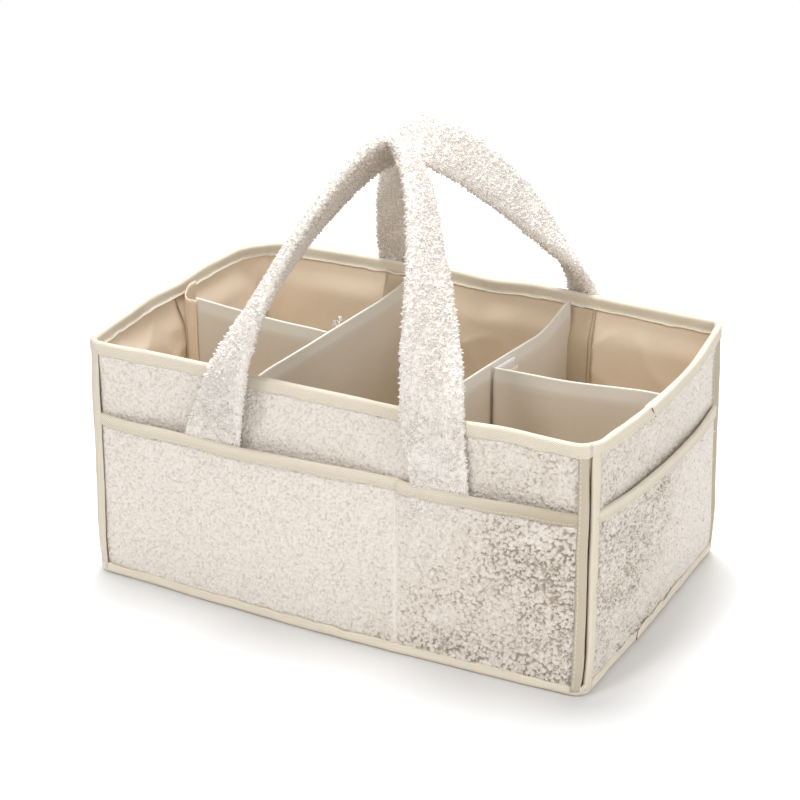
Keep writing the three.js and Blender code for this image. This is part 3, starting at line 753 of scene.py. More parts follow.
def boucle_material(name, depths, tips):
    """Cloth of looped yarn, with painted shade: darker down in its pile between the loops, and paler where
    a loop's tone is bright.
    """
    nodes = Nodes(name)
    place = nodes.object_place()
    curl = nodes.add("ShaderNodeTexVoronoi", {"Vector": place, "Scale": 620.0}).outputs[0]
    fibre = nodes.noise(place, scale=1500.0, detail=3.0)
    pile_painted_shade = nodes.math("SUBTRACT", nodes.attribute("pile"), nodes.times(curl, 0.22))
    bright = nodes.times(nodes.attribute("tone"), 0.35)
    color = nodes.mix(bright, nodes.ramp(pile_painted_shade, depths), tips)
    bump = nodes.math("SUBTRACT", nodes.times(fibre, 0.5), curl)
    return nodes.finish(color, bump, strength=0.6, distance=0.0009, Roughness=0.95, Sheen_Weight=0.3,
                        Sheen_Roughness=0.6, Specular_IOR_Level=0.1)


def twill_material(name, dark, light):
    """Diagonal ribs, and painted shade: a darker tan where a tape is marked as lying in shade."""
    nodes = Nodes(name)
    uv = nodes.weave()
    turned = nodes.add("ShaderNodeMapping", {"Vector": uv, "Rotation": (0, 0, TWILL_ANGLE)}).outputs[0]
    rib = nodes.bands(turned, TWILL_PITCH, "X", **{"Distortion": 1.2, "Detail": 2.0, "Detail Scale": 2.0})
    yarn = nodes.noise(uv, scale=1400.0, detail=3.0)
    patch = nodes.noise(uv, scale=60.0, detail=3.0)
    ribbed = nodes.mix(rib, dark, light)
    faded = nodes.mix(nodes.times(patch, 0.4), ribbed, light)
    color = nodes.mix(nodes.times(nodes.attribute("inner"), 0.5), faded, TAPE_SHADE_COLOR)
    bump = nodes.math("ADD", rib, nodes.times(yarn, 0.6))
    return nodes.finish(color, bump, strength=0.55, distance=0.0004, Roughness=0.85, Sheen_Weight=0.15,
                        Specular_IOR_Level=0.25)


def plain_weave_material(name, dark, light, pitch, roughness, sheen, hem=None):
    """A plain weave, paler where the cloth is doubled in a hem, partly as a painted sheen."""
    nodes = Nodes(name)
    uv = nodes.weave()
    weave = nodes.times(nodes.bands(uv, pitch, "X"), nodes.bands(uv, pitch, "Y"))
    blotch = nodes.noise(uv, scale=22.0, detail=3.0)
    slub = nodes.noise(uv, scale=320.0, detail=2.0)
    share = nodes.math("ADD", nodes.times(blotch, 0.6), nodes.times(slub, 0.35))
    color = nodes.mix(share, dark, light)
    if hem is not None:
        color = nodes.mix(nodes.attribute("hem"), color, hem)
    bump = nodes.math("ADD", weave, nodes.times(slub, 0.5))
    return nodes.finish(color, bump, strength=0.25, distance=0.0002, Roughness=roughness,
                        Sheen_Weight=sheen, Specular_IOR_Level=0.35)


def mottled_material(name, scale, colors, strength, distance, **values):
    """Two colours mottled together, and raised in the same pattern."""
    nodes = Nodes(name)
    mottle = nodes.noise(nodes.object_place(), scale, detail=4.0)
    return nodes.finish(nodes.ramp(mottle, colors), mottle, strength, distance, **values)


TWILL_PITCH = 0.0012
# Painted shade: the darker tan painted on tapes where they lie in shade
TAPE_SHADE_COLOR = (0.47, 0.40, 0.29)
# Painted shade: the boucle's colours darken from the tops of its loops down into the pile
BOUCLE = boucle_material(
    "boucle",
    depths=[(0.0, (0.37, 0.30, 0.23)), (0.4, (0.71, 0.63, 0.545)), (0.85, (0.855, 0.79, 0.725))],
    tips=(0.95, 0.905, 0.855),
)
TWILL = twill_material("twill_tape", dark=(0.58, 0.505, 0.38), light=(0.88, 0.80, 0.675))
# Painted light: a paler copy of the twill tape for the base tape, which lies in the shade near the floor
BASE_TWILL_PAINTED_LIGHT = twill_material("base_twill_painted_light", dark=(0.70, 0.61, 0.46), light=(0.98, 0.89, 0.75))
LINING = plain_weave_material("lining", dark=(0.74, 0.595, 0.435), light=(0.88, 0.745, 0.575),
                              pitch=0.0005, roughness=0.4, sheen=0.3)
COVER = plain_weave_material("divider_cover", dark=(0.60, 0.54, 0.45), light=(0.72, 0.66, 0.565),
                             pitch=0.0006, roughness=0.42, sheen=0.2, hem=(0.73, 0.70, 0.64))
TAB = plain_weave_material("tab_cloth", dark=(0.68, 0.55, 0.40), light=(0.80, 0.67, 0.51),
                           pitch=0.0006, roughness=0.6, sheen=0.25)
STRIP = plain_weave_material("loop_strip", dark=(0.46, 0.355, 0.235), light=(0.58, 0.465, 0.33),
                             pitch=0.0012, roughness=0.8, sheen=0.3)
LOOP = mottled_material(
    "loop_patch", 900.0, [(0.3, (0.62, 0.59, 0.55)), (0.65, (0.88, 0.87, 0.84))],
    strength=0.9, distance=0.0008, Roughness=0.95, Sheen_Weight=0.3, Specular_IOR_Level=0.15,
)
BOARD = mottled_material(
    "stiffener", 260.0, [(0.35, (0.62, 0.60, 0.55)), (0.7, (0.76, 0.74, 0.69))],
    strength=0.15, distance=0.0003, Roughness=0.6,
)
# Painted shadow: a dark colour for threads that stand for the shadow in a tape's lapped gap
GAP_SHADOW = plain_weave_material("tape_gap_shadow", dark=(0.16, 0.12, 0.075), light=(0.24, 0.18, 0.12),
                           pitch=0.0006, roughness=0.9, sheen=0.0)
THREAD = plain_weave_material("thread", dark=(0.72, 0.66, 0.54), light=(0.86, 0.81, 0.70),
                              pitch=0.0004, roughness=0.6, sheen=0.2)


# Boucle panels and pockets
CLOTH_TUCK = 1.0
RIM_TUCK = 3.0
BASE_TUCK = 3.0
MOUTH_TUCK = 4.0
BEHIND_MOUTH = 16.0
PILE_BEHIND_MOUTH = 14.0
EDGE_FADE = 2.5
HEM_FADE = 3.5
MOUTH_FADE = 4.5
BAND_DEPTH = 1.8
POCKET_DEPTH = 1.3
SEAM_PINCH = 0.75
SEAM_WIDTH = 1.6


def edge_fade(value, low, high, width):
    """1 well inside two edges, falling to 0 at them."""
    return smooth((value - low) / width) * smooth((high - value) / width)


def clumps_on(wall, u, z):
    """How much the pile is gathered in clumps: most towards the front right corner, where the cloth is
    painted darker, partly as its clumped look and partly as painted shade.
    """
    patchy = 0.85 + 0.4 * noise(u / 34, z / 28, 7)
    fuller = {"front": smooth((u - 0.5 * (z - 60) + 5) / 150), "right": 1.2 * smooth((60 - u) / 110)}
    below_mouth = 1 - 0.45 * smooth((z - MOUTH + 6) / 6)
    return np.clip(fuller.get(wall.name, 0.4) * patchy * below_mouth, 0, 1)


def cloth_ends(wall):
    """Where a wall's boucle starts and ends along it, tucked under the corner tapes."""
    half = wall.reach - SLIT - CORNER_TAPE_WIDTH + CLOTH_TUCK
    return -half - (FRONT_EXTRA if wall is RIGHT else 0.0), half


def outer_cloth(wall, seed):
    """The band of cloth above a pocket, from behind its mouth to under the rim tape."""
    start, end = cloth_ends(wall)
    top = RIM_BOTTOM + RIM_TUCK

    def z_of(u):
        return mouth_height(wall, u) - BEHIND_MOUTH, np.full(u.shape, top)

    def depth(u, z):
        return np.full(u.shape, BAND_DEPTH)

    def fuzz(u, z):
        lower = smooth((z - mouth_height(wall, u) + PILE_BEHIND_MOUTH) / MOUTH_TUCK)
        return edge_fade(u, start, end, EDGE_FADE) * smooth((top - z) / HEM_FADE) * lower

    length = top - MOUTH + BEHIND_MOUTH
    return boucle_sheet(wall, "outer", (start, end), z_of, depth, fuzz, length, seed)


def pocket_cloth(wall, seed):
    """A pocket's cloth, from under the base tape to under its mouth's tape."""
    start, end = cloth_ends(wall)
    bottom = BASE_TAPE_TOP - BASE_TUCK + (END_TAPE_RISE if wall is RIGHT else 0.0)

    def z_of(u):
        return np.full(u.shape, bottom), mouth_height(wall, u) - MOUTH_TUCK

    def depth(u, z):
        puff = 0.8 * noise(u / 70, z / 50, seed) * edge_fade(u, -end, end, 25) * smooth((z - bottom) / 30)
        return POCKET_DEPTH - pocket_bow(wall, u, z) - puff

    def fuzz(u, z):
        top = z_of(u)[1]
        fade = edge_fade(u, start, end, EDGE_FADE) * smooth((z - bottom) / HEM_FADE)
        fade = fade * smooth((top - z) / MOUTH_FADE)
        for seam in POCKET_SEAMS[wall.name]:
            fade = fade * (1 - SEAM_PINCH * bell((u - seam) / SEAM_WIDTH))
        return fade

    return boucle_sheet(wall, "pocket", (start, end), z_of, depth, fuzz, MOUTH - bottom, seed)


# Binding tapes
FOLD_STEPS = np.array([0.0, 0.07, 0.14, 0.22, 0.45, 0.7])
FOLD_TURN = np.linspace(math.pi, 0, 7)
RIM_STEP = 2.0
RIM_FOLD = 4.8
RIM_LEG = 9.2
RIM_INNER_LEG = 9.6
RIM_PROUD = 0.6
RIM_BEAD = 1.3
RIM_PAINTED_SHADE = 0.55
BASE_STEP = 2.5
BASE_EDGE_RADIUS = 5.5
BASE_PROUD = 0.4
END_TAPE_RISE = 2.0
RIM_LAPS = {"right": -41.0}
BASE_LAPS = {"right": -34.0}
RIM_LAP_SLANT = 6.0
LAP_SHADOW_RADIUS = 0.45
CORNER_STEP = 2.5
CORNER_ROLL = 2.2
CORNER_TURN_IN = (0.6, 4.5)  # how far from the edge, and how deep, the tape ends in the slit
# Painted shade: how much darker tan a corner tape is painted where it lies in shade
CORNER_PAINTED_SHADE = {"front_panel_right": 1.3, "right_panel_back": 1.9}  # how tan a tape is
CORNER_WIDTHS = {"right_panel_front": NARROW_TAPE}
SPREADING_TAPE = "right_panel_back"
MOUTH_STEP = 2.2
MOUTH_FOLD = 3.4
MOUTH_DEPTH = 0.9
SEAM_LIFT = 1.6
RAGGED = {  # ripples of a tape's edge: each one's height, length, row of the noise and seed
    "rim": ((0.6, 9, 1.5, 3), (0.3, 3.5, 4.5, 5)),
    "base": ((0.8, 13, 6.5, 2), (0.4, 4, 8.5, 6)),
    "mouth": ((0.5, 10, 7.5, 3), (0.3, 4, 2.2, 8)),
}


def ragged(tape, u):
    """How uneven a tape's edge is along it."""
    return sum(height * noise(u / length, row, seed) for height, length, row, seed in RAGGED[tape])


def folded_profile(fold_width, height, thickness):
    """A closed section of tape folded over an edge: (across, up) points, up to height, going round."""
    crown = height - fold_width / 2

    def face(radius):
        left = [(-radius, crown * t) for t in FOLD_STEPS]
        over = [(radius * math.cos(a), crown + radius * math.sin(a)) for a in FOLD_TURN]
        return left + over + [(radius, crown * t) for t in FOLD_STEPS[::-1]]

    return np.array(face(fold_width / 2) + face(fold_width / 2 - thickness)[::-1])


def nearest(profile, across, up):
    """Which point of a section is nearest to a place on it."""
    return int(np.argmin(np.hypot(profile[:, 0] - across, profile[:, 1] - up)))


def round_the_walls(step, lengths, place):
    """Sections all the way round the body, with flat coordinates. place gives a wall's sections at u."""
    grids, weave, start = [], [], 0.0
    for wall in WALLS:
        count = int(2 * wall.reach / step)
        u = -wall.reach + (np.arange(count) + 0.5) * 2 * wall.reach / count
        grids.append(place(wall, u[:, None]))
        weave.append(paired((start + u)[:, None], lengths))
        start += 2 * wall.reach
    return np.concatenate(grids), np.concatenate(weave)


def lap(u, place, length=55.0, rise=0.9):
    """The extra thickness where a tape's folded end lies over its start."""
    past = u - place
    return np.where(past > 0, rise * np.clip(1 - past / length, 0, 1), 0) * smooth(past / 0.8)


def bind(name, node, stations, weave, seams, closed=False, painted_tape_shade=None, material=TWILL):
    """Makes a tape, with a row of stitches along each of its columns named in seams."""
    # Painted shade: a tape may be marked where it is painted a darker tan
    values = None if painted_tape_shade is None else {"inner": painted_tape_shade}
    piece = swept(f"{name}_binding", stations, material, weave, closed, values)
    belong(piece, "caddy", "twill_tape", node)
    for seam, column in seams.items():
        sew(f"{seam}_stitches", stations, column, closed)


def rim_tape():
    """Tape folded over the whole rim, with a row of stitches on either side."""
    profile = folded_profile(RIM_FOLD, RIM_LEG, TAPE_THICKNESS)
    across, up = profile.T
    centre = RIM_FOLD / 2 - RIM_PROUD
    leg = np.where(across > 0, RIM_INNER_LEG, RIM_LEG)
    bead = RIM_BEAD * bell((up - 0.5) / 0.6) * (across > 0)

    def place(wall, u):
        outside = lap(u, RIM_LAPS[wall.name]) if wall.name in RIM_LAPS else 0.0
        z = HEIGHT - leg * (1 - up / RIM_LEG) + ragged("rim", u) * (1 - up / RIM_LEG)
        puff = 0.3 * noise(u / 14, up / 6, 8) + bead
        depth = centre + across - (outside + puff) * np.sign(-across)
        return wall.place(u, drawn(depth, z), z)

    stations, weave = round_the_walls(RIM_STEP, round_length(profile), place)
    # Painted shade: the rim's inner leg is painted a darker tan, but not at its top and its lower edge
    painted_tape_shade = RIM_PAINTED_SHADE * (across > 0) * smooth((up - 1.2) / 0.8) * smooth((RIM_LEG - 0.6 - up) / 2)
    seams = {
        f"rim_{face}": nearest(profile, side * RIM_FOLD / 2, SEAM_LIFT)
        for face, side in (("outer", -1), ("inner", 1))
    }
    bind("rim", "rim_tape", stations, weave, seams, closed=True, painted_tape_shade=np.tile(painted_tape_shade, len(stations)))


def base_tape():
    """Tape round the base's edge: up the walls by its width, and the same under the base."""
    radius = BASE_EDGE_RADIUS
    half_way = (BASE_TAPE_TOP + radius) / 2
    turn = np.linspace(0, math.pi / 2, 6)

    def path(inset):
        bend = radius - inset
        arc = [(radius - bend * math.cos(a), radius - bend * math.sin(a)) for a in turn]
        return [(inset, BASE_TAPE_TOP), (inset, half_way), *arc, (half_way, inset), (BASE_TAPE_TOP, inset)]

    profile = np.array(path(0.0) + path(TAPE_THICKNESS)[::-1])
    depth, up = profile.T

    def place(wall, u):
        outside = lap(u, BASE_LAPS[wall.name]) if wall.name in BASE_LAPS else 0.0
        rise = END_TAPE_RISE * (wall is RIGHT) + ragged("base", u) * (1 + (wall is RIGHT))
        puff = (0.4 * noise(u / 16, up / 5, 9) + 0.8 * noise(u / 44, 3.5, 4)) * (up > 1)
        out = (outside + puff) * (up > 1)
        return wall.place(u, depth - out - BASE_PROUD, up + rise * smooth(up / BASE_TAPE_TOP))

    stations, weave = round_the_walls(BASE_STEP, round_length(profile), place)
    stations, weave = stations[:, ::-1], weave[:, ::-1]
    bind("base", "base_tape", stations, weave, {"base": -2}, closed=True, material=BASE_TWILL_PAINTED_LIGHT)


def corner_tape(wall, side, name):
    """Tape folded round a panel's upright edge, turned into the slit between two panels.

    One that spreads widens upwards as far as the cloth beside it falls short.
    """
    width = CORNER_WIDTHS.get(name, CORNER_TAPE_WIDTH)
    z = np.arange(BASE_TAPE_TOP - 4.0, RIM_BOTTOM + 5.0, CORNER_STEP)[:, None]
    edge = wall.reach - SLIT
    bend, roll = edge - CORNER_ROLL, CORNER_ROLL
    turn = np.linspace(0, math.pi / 2, 6)
    outer = [(u, 0.0) for u in np.linspace(edge - width, bend, 5)[:-1]]
    outer += [(bend + roll * math.sin(a), roll * (1 - math.cos(a))) for a in turn]
    outer += [(edge - CORNER_TURN_IN[0], CORNER_TURN_IN[1])]
    inner = [(u - TAPE_THICKNESS * (d > roll / 2), d + TAPE_THICKNESS * (d <= roll / 2)) for u, d in outer]
    profile = np.array(outer + inner[::-1])
    along, into = profile.T
    wobble = 0.5 * noise(z / 24, 3.5, 4 + side)
    inwards = np.clip((bend - along) / (width - roll), 0, 1) * (name == SPREADING_TAPE)
    u = side * (along + wobble - (trim_at(z) + SPREAD_UNDER) * inwards)
    puff = 0.3 * noise(z / 13, along / 6, 6)
    inner_edge = smooth((edge - 5.0 - along) / 3.0)
    depth = into - 0.5 - 0.9 * inner_edge - puff * (into < roll) + SPREAD_SINK * inwards
    stations, weave = wall.place(u, depth, z), paired(z, round_length(profile))
    if side < 0:
        stations, weave = stations[:, ::-1], weave[:, ::-1]
    # Painted shade: some corner tapes are painted a darker tan
    painted_tape_shade = np.full(stations.shape[:2], CORNER_PAINTED_SHADE.get(name, 0.0))
    bind(name, f"{name}_tape", stations, weave, {name: 1 if side > 0 else -2}, painted_tape_shade=painted_tape_shade)


def mouth_tape(wall):
    """Tape folded over a pocket's mouth, following its bow, with a lapped end at the pocket's seam."""
    half = wall.reach - CORNER_TAPE_WIDTH + CLOTH_TUCK
    u = trimmed(wall, np.arange(-half, half, MOUTH_STEP), MOUTH)[:, None]
    width = MOUTH - MOUTH_TAPE_BOTTOM
    profile = folded_profile(MOUTH_FOLD, width, TAPE_THICKNESS)
    across, up = profile.T
    top = mouth_height(wall, u)
    z = top - width + up + ragged("mouth", u) * (1 - up / width)
    step = np.zeros(u.shape)
    for seam in POCKET_SEAMS[wall.name]:
        step = step + lap(u, seam, length=40.0, rise=0.8)
        z = z - smooth((u - seam) / 1.5) * smooth((seam + 60 - u) / 50)
    puff = 0.3 * noise(u / 15, up / 6, 5)
    depth = MOUTH_DEPTH + across - pocket_bow(wall, u, top) - (step + puff) * (across < 0)
    stations = wall.place(u, depth, z)
    # Painted shade: the lower part of the tape, where it rolls under, is painted darker, and the front one
    # also darker towards its right end
    mouth_painted_shade = np.tile(0.45 * smooth((0.75 - up / width) / 0.6), (len(stations), 1))
    if wall is FRONT:
        mouth_painted_shade = mouth_painted_shade + 1.5 * smooth((u - 70) / 110)
    name, column = f"{wall.name}_mouth", nearest(profile, -MOUTH_FOLD / 2, SEAM_LIFT)
    weave = paired(u, round_length(profile))
    bind(name, f"{wall.name}_pocket_tape", stations, weave, {name: column}, painted_tape_shade=mouth_painted_shade)


def lap_end(name, wall, u, z_ends, depth, slant=0.0):
    """A painted shadow: a thin dark thread in the gap at a tape's lapped end, which may slant along the
    wall on its way down.
    """
    z = np.linspace(*z_ends, 6)
    shift = slant * np.linspace(1, 0, 6) + 0.5 * noise(z / 3, 0.5, 9)
    line = wall.place(u + shift, drawn(depth, z), z)
    return belong(thread_piece(name, line[None], LAP_SHADOW_RADIUS, GAP_SHADOW), "caddy", "twill_tape")


# Lining, boards and base
LINING_STEP = 2.6
LINING_ROWS = 60
LINING_SLACK = 0.4
FLAT_GRID = (120, 76)
FLAT_FADE = 12
BOARD_GRID = (41, 13)
BOARD_MARGIN = 4.0


def lining_depth(wall, u, z):
    """How far in the lining's inside face lies: soft wrinkles, drawn tight at the corners and the rim."""
    sag = 0.5 + 1.5 * noise(u / 46, z / 60, 12) + 0.8 * noise(u / 21 + z / 40, z / 44, 13)
    ridge = 1 - np.abs(noise((u + 0.7 * z) / 44, (z - 0.4 * u) / 62, 14))
    crease = 1.7 * ridge**7 + 1.0 * (1 - np.abs(noise((u - 0.6 * z) / 52, z / 70, 16))) ** 7
    slack = smooth((HEIGHT - z) / 34) * smooth((wall.reach - np.abs(u)) / 26)
    seam = 1.6 * bell((wall.reach - np.abs(u)) / 1.8) * smooth((HEIGHT - z) / 20)
    return LINING_DEPTH + LINING_THICKNESS + LINING_SLACK + (sag + crease) * slack - seam


def lining():
    """The lining bag's walls: one soft ring of cloth."""
    rows = np.linspace(FLOOR - 1.0, HEIGHT - 4.0, LINING_ROWS)

    def place(wall, u):
        depth = lining_depth(wall, u, rows)
        outer, inner = [wall.place(u, depth - out, rows) for out in (LINING_THICKNESS, 0.0)]
        return np.concatenate([outer, inner[:, ::-1]], axis=1)

    stations, weave = round_the_walls(LINING_STEP, np.append(rows, rows[::-1]), place)
    piece = swept("lining_walls", stations, LINING, weave, closed=True)
    belong(piece, "caddy", "lining", "wall_lining")
    length = sum(2 * wall.reach for wall in WALLS)
    return cloth(piece, length, HEIGHT - FLOOR, *[f"{wall.name}_bent_board" for wall in WALLS])


def flat_cloth(name, node, thickness, wrinkle, seed):
    """A flat cloth with soft wrinkles on both its faces, closed round its edge."""
    z = box_mm(node)[0][2]
    half_x, half_y = box_mm(node)[1][:2]
    columns, rows = FLAT_GRID
    x, y = np.meshgrid(np.linspace(-half_x, half_x, columns), np.linspace(-half_y, half_y, rows))
    fade = edge_fade(x, -half_x, half_x, FLAT_FADE) * edge_fade(y, -half_y, half_y, FLAT_FADE)
    rise = wrinkle * fade * ripples(x, y, FLAT_WAVES, seed)
    x, y = (
        x + RIGHT.swell(y, 0) * smooth(x / half_x) - LEFT.swell(-y, 0) * smooth(-x / half_x),
        y + BACK.swell(-x, 0) * smooth(y / half_y) - FRONT.swell(x, 0) * smooth(-y / half_y),
    )
    top, bottom = np.stack([x, y, z + thickness + rise], -1), np.stack([x, y, z + rise], -1)
    piece = slab(name, top, bottom, LINING, np.stack([x, y], -1))
    belong(piece, "caddy", "lining", node)
    return cloth(piece, 2 * half_x, 2 * half_y, "base_board")


def bent_board(wall):
    """A wall's stiffening board, bent with the soft wall that it stiffens."""
    half = wall.reach - BOARD_DEPTH - BOARD_MARGIN
    columns, rows = BOARD_GRID
    u, z = np.meshgrid(
        np.linspace(-half, half, columns), np.linspace(BOARD_MARGIN, HEIGHT - BOARD_MARGIN, rows),
    )
    front, back = [wall.place(u, BOARD_DEPTH + inward, z) for inward in (0.0, BOARD_THICKNESS)]
    piece = slab(f"{wall.name}_bent_board", front, back, BOARD)
    return belong(piece, "caddy", "stiffener", f"{wall.name}_board")


# Straps


def strap_leg(which, wall, hand):
    """One leg's middle line, from inside the pocket up to the top of the crown."""
    mouth, rim, lean, pull, crown_pull = STRAP_LEGS[which][hand]
    side = 1 if hand else -1
    height = np.arange(FOOT_BOTTOM, HEIGHT, 1.0)
    climb = (height - MOUTH) / (HEIGHT - MOUTH)
    across = mouth + (rim - mouth) * climb
    lie = LEG_GAP + FOOT_THICKNESS / 2
    rim_turn = math.radians(RIM_TURNS[which][hand])
    off = lie + stand_off(height, rim_turn) + wall.swell(across, height)
    foot = np.stack([across, -HALF_DEPTH - off, height], -1)
    start_off = lie + stand_off(HEIGHT, rim_turn) + wall.swell(rim, HEIGHT)
    start = np.array([rim, -HALF_DEPTH - start_off, HEIGHT])
    end = np.array([0.0, STRAP_CROWN_Y, STRAP_CROWN_Z[which]])
    second = start + pull * np.array([-side * lean, LEG_TILT, 1.0])
    third = end + np.array([side * crown_pull, 0.0, 0.0])
    t = np.linspace(0, 1, LEG_POINTS)[:, None]
    rise = (1 - t) ** 3 * start + 3 * t * (1 - t) ** 2 * second + 3 * t**2 * (1 - t) * third + t**3 * end
    return resample(np.concatenate([foot, rise]), STRAP_STEP)


def stand_off(height, rim_turn):
    """How far a leg's middle stands off the wall: its wall-side edge stays on the wall as it turns."""
    turned = rim_turn * np.clip((height - TWIST_START) / (HEIGHT - TWIST_START), 0, 1)
    padding = (STRAP_THICKNESS - FOOT_THICKNESS) / 2 * smooth((height - MOUTH) / 50)
    return EDGE_SHARE * STRAP_WIDTH / 2 * np.sin(turned) + padding


def strap_section(count):
    """Points round a flat oval of half width 1 and half thickness 1, and how far round each is."""
    angle = np.linspace(0, 2 * math.pi, OVAL_POINTS)
    parts, sizes = (np.cos(angle), np.sin(angle)), (STRAP_WIDTH, STRAP_THICKNESS)
    across, outward = [
        np.sign(part) * np.abs(part) ** power * size / 2
        for part, power, size in zip(parts, OVAL_POWERS, sizes)
    ]
    run = np.append(0, np.cumsum(np.hypot(np.diff(across), np.diff(outward))))
    places = np.linspace(0, run[-1], count, endpoint=False)
    width = np.interp(places, run, across) / (STRAP_WIDTH / 2)
    depth = np.interp(places, run, outward) / (STRAP_THICKNESS / 2)
    return width, depth, places


def joined(left, right):
    """What runs up the left leg and then down the right one."""
    return np.concatenate([left, right[:-1][::-1]])


def strap(which, wall, seed):
    """One padded strap: two feet and the loop between them, all one piece of cloth."""
    legs = [strap_leg(which, wall, hand) for hand in (0, 1)]
    shares = [leg_share(leg) for leg in legs]
    fits = [np.polynomial.Polynomial.fit(*twist, 4) for twist in LEG_TWISTS[which]]
    twists = [fit(share) for fit, share in zip(fits, shares)]
    line, share = joined(*legs), joined(*shares)
    tangent = unit(np.gradient(line, axis=0))
    tilted = smooth((line[:, 2] - TILT_START) / TILT_REACH)[:, None]
    lean = math.atan2(HINGE_Y + STRAP_CROWN_Y, STRAP_CROWN_Z[which] - HINGE_Z)
    inward = unit((1 - tilted) * np.array([0.0, 1.0, 0.0])
                  + tilted * np.array([0.0, math.cos(lean), -math.sin(lean)]))
    inward = unit(inward - (inward * tangent).sum(1, keepdims=True) * tangent)
    outward = np.cross(tangent, inward)
    turn = np.radians(np.clip(joined(*twists), 0, 90))[:, None]
    face = outward * np.sin(turn) - inward * np.cos(turn)
    across = np.cross(face, tangent)
    rise = smooth((line[:, 2] - PAD_START) / PAD_REACH)
    width = STRAP_WIDTH + (STRAP_TOP_WIDTH - STRAP_WIDTH) * share
    thick = FOOT_THICKNESS + (STRAP_THICKNESS - FOOT_THICKNESS) * rise
    thick = thick + (STRAP_TOP_THICKNESS - STRAP_THICKNESS) * share - STRAP_PILE
    section_width, section_depth, around = strap_section(STRAP_COLUMNS)
    run = run_along(line)
    pinch = 1 - STRAP_PINCH * (0.5 + 0.5 * noise(run / 26, 3.3, seed))
    gather = bell((line[:, 2] - GATHER_HEIGHT) / GATHER_REACH) * (line[:, 0] < 0)
    pinch = pinch - LEFT_GATHER[which] * gather
    half_width = (width * pinch - STRAP_PILE)[:, None, None] / 2
    base = wall.turned(
        line[:, None]
        + across[:, None] * section_width[None, :, None] * half_width
        + face[:, None] * section_depth[None, :, None] * thick[:, None, None] / 2
    )
    normals = grid_normals(base, wrap_columns=True)
    u, v = np.broadcast_arrays(around[None, :], run[:, None])
    clumps = STRAP_CLUMPS + 0.25 * noise(u / 14, v / 18, seed)
    # Painted shade: the strap's inner face darkens up its legs towards the crown
    inner = smooth(-section_depth * 1.4)[None, :] * smooth((share - 0.2) / 0.4)[:, None]
    raised, shade, tone, sites = pile_on(base, normals, u, v, np.ones(u.shape), clumps, seed, STRAP_NAP,
                                         INNER_PAINTED_SHADE[which] * inner)
    faces = tube_faces(*base.shape[:2])
    piece = boucle_piece(f"{which}_strap", raised.reshape(-1, 3), faces, shade.ravel(), tone.ravel(), sites)
    body = f"{which}_handle"
    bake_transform(piece)
    stand_for(piece, "boucle", f"{body}_loop", f"{body}_left_foot", f"{body}_right_foot")
    return piece


def leg_share(leg):
    """How far up its leg each place is, from 0 where the strap starts to turn to 1 at the crown."""
    run = run_along(leg)
    start = run[np.argmax(leg[:, 2] > TWIST_START)]
    return np.clip((run - start) / (run[-1] - start), 0, 1)


# Dividers
SIDES = {"left": -1, "right": 1}
COVER_HALF = 1.8
CROSS_END = 108.5
CROSS_REAR = 111.0
CROSS_PLANS = {  # the divider's middle, from its front end to its rear end
    "left": ((-CROSS_END, -68.0), (-40.0, -68.0), (10.0, -66.0), (60.0, -64.0), (CROSS_END, -62.0)),
    "right": ((-CROSS_END, 59.0), (-45.0, 58.5), (0.0, 62.5), (40.0, 66.5), (CROSS_END, 74.0)),
}
CROSS_REAR_RISE = {"left": 3.0, "right": 12.0}
SIDE_ENDS = {"left": (-181.0, -69.5), "right": (67.0, 184.5)}
SIDE_LEAN = {"left": -1.0, "right": 7.0}
SIDE_Y = {"left": 5.0, "right": 0.0}
COVER_TOP = 169.0
RISE_FROM = 90.0
COVER_EDGE = 1.0
BOARD_HALF = 0.5
COVER_FADE = 18
COVER_SEEDS = {"cross": 61, "side": 64}
HEM = 11.0
HEM_DENT = 0.15
HEM_AND_SHEEN_PALENESS = 0.75
COVER_ROWS = (30, 24)
FAR_SIDE = 200.0
STRIP_GRID = (14, 44)
PATCH_GRID = (10, 40)
TAB_ROWS = 50
TAB_TOP = {"left": 172.0, "right": 163.0}
TAB_CURL = {"left": 8.0, "right": 0.0}
TAB_FRONT = {"left": 2.6, "right": -4.0}
TAB_WALL_X = {"left": (-186.0, -191.5), "right": (186.0, 190.0)}
TAB_FOOT = 33.0
TAB_REACH = 17.0
TAB_STEP = 0.6
TAB_HALF = 0.45
TAB_PLAN = (  # off the wall, back
    (11.5, 0.0), (6.0, -0.2), (2.4, 0.3), (0.6, 2.0), (0.0, 6.0), (0.0, TAB_REACH),
)
FLANGE_TOP = 172.0
STRIP_TOP = HEIGHT - 7.0
STRIP_MARGIN = 2.0
STRIP_FRONT = {"left": 4.0, "right": 12.0}
INNER_TAB = {"left": (17.0, 165.5), "right": (32.0, 158.5)}  # how far back it reaches, and its top
PATCH_ENDS = (3.5, 29.0)
PATCH_TOP = {"left": 165.0, "right": 165.5}
COVER_CLEARANCE = 0.9
STRIP_LAYER = (0.1, 0.8, STRIP)  # a strip's gap off what it lies on, its thickness and its material
FLANGE_LAYER = (1.1, 1.5, STRIP)
PATCH_LAYER = (0.1, 0.9, LOOP)
INNER_TAB_LAYER = (1.2, 0.9, TAB)


def cross_x(hand, y):
    """Where a cross divider's middle is at each depth y."""
    ys, xs = np.array(CROSS_PLANS[hand]).T
    fit = np.polynomial.Polynomial.fit(ys, xs, 3)
    return fit(np.asarray(y, float))


def cross_plan(hand):
    """A cross divider's line on the floor, and its height along that."""
    y = np.linspace(-CROSS_END, CROSS_REAR, 90)
    top = COVER_TOP + CROSS_REAR_RISE[hand] * smooth((y - 55) / 55) ** 1.5 + 0.7 * noise(y / 40, 0.5, 3)
    return np.stack([cross_x(hand, y), y], -1), top


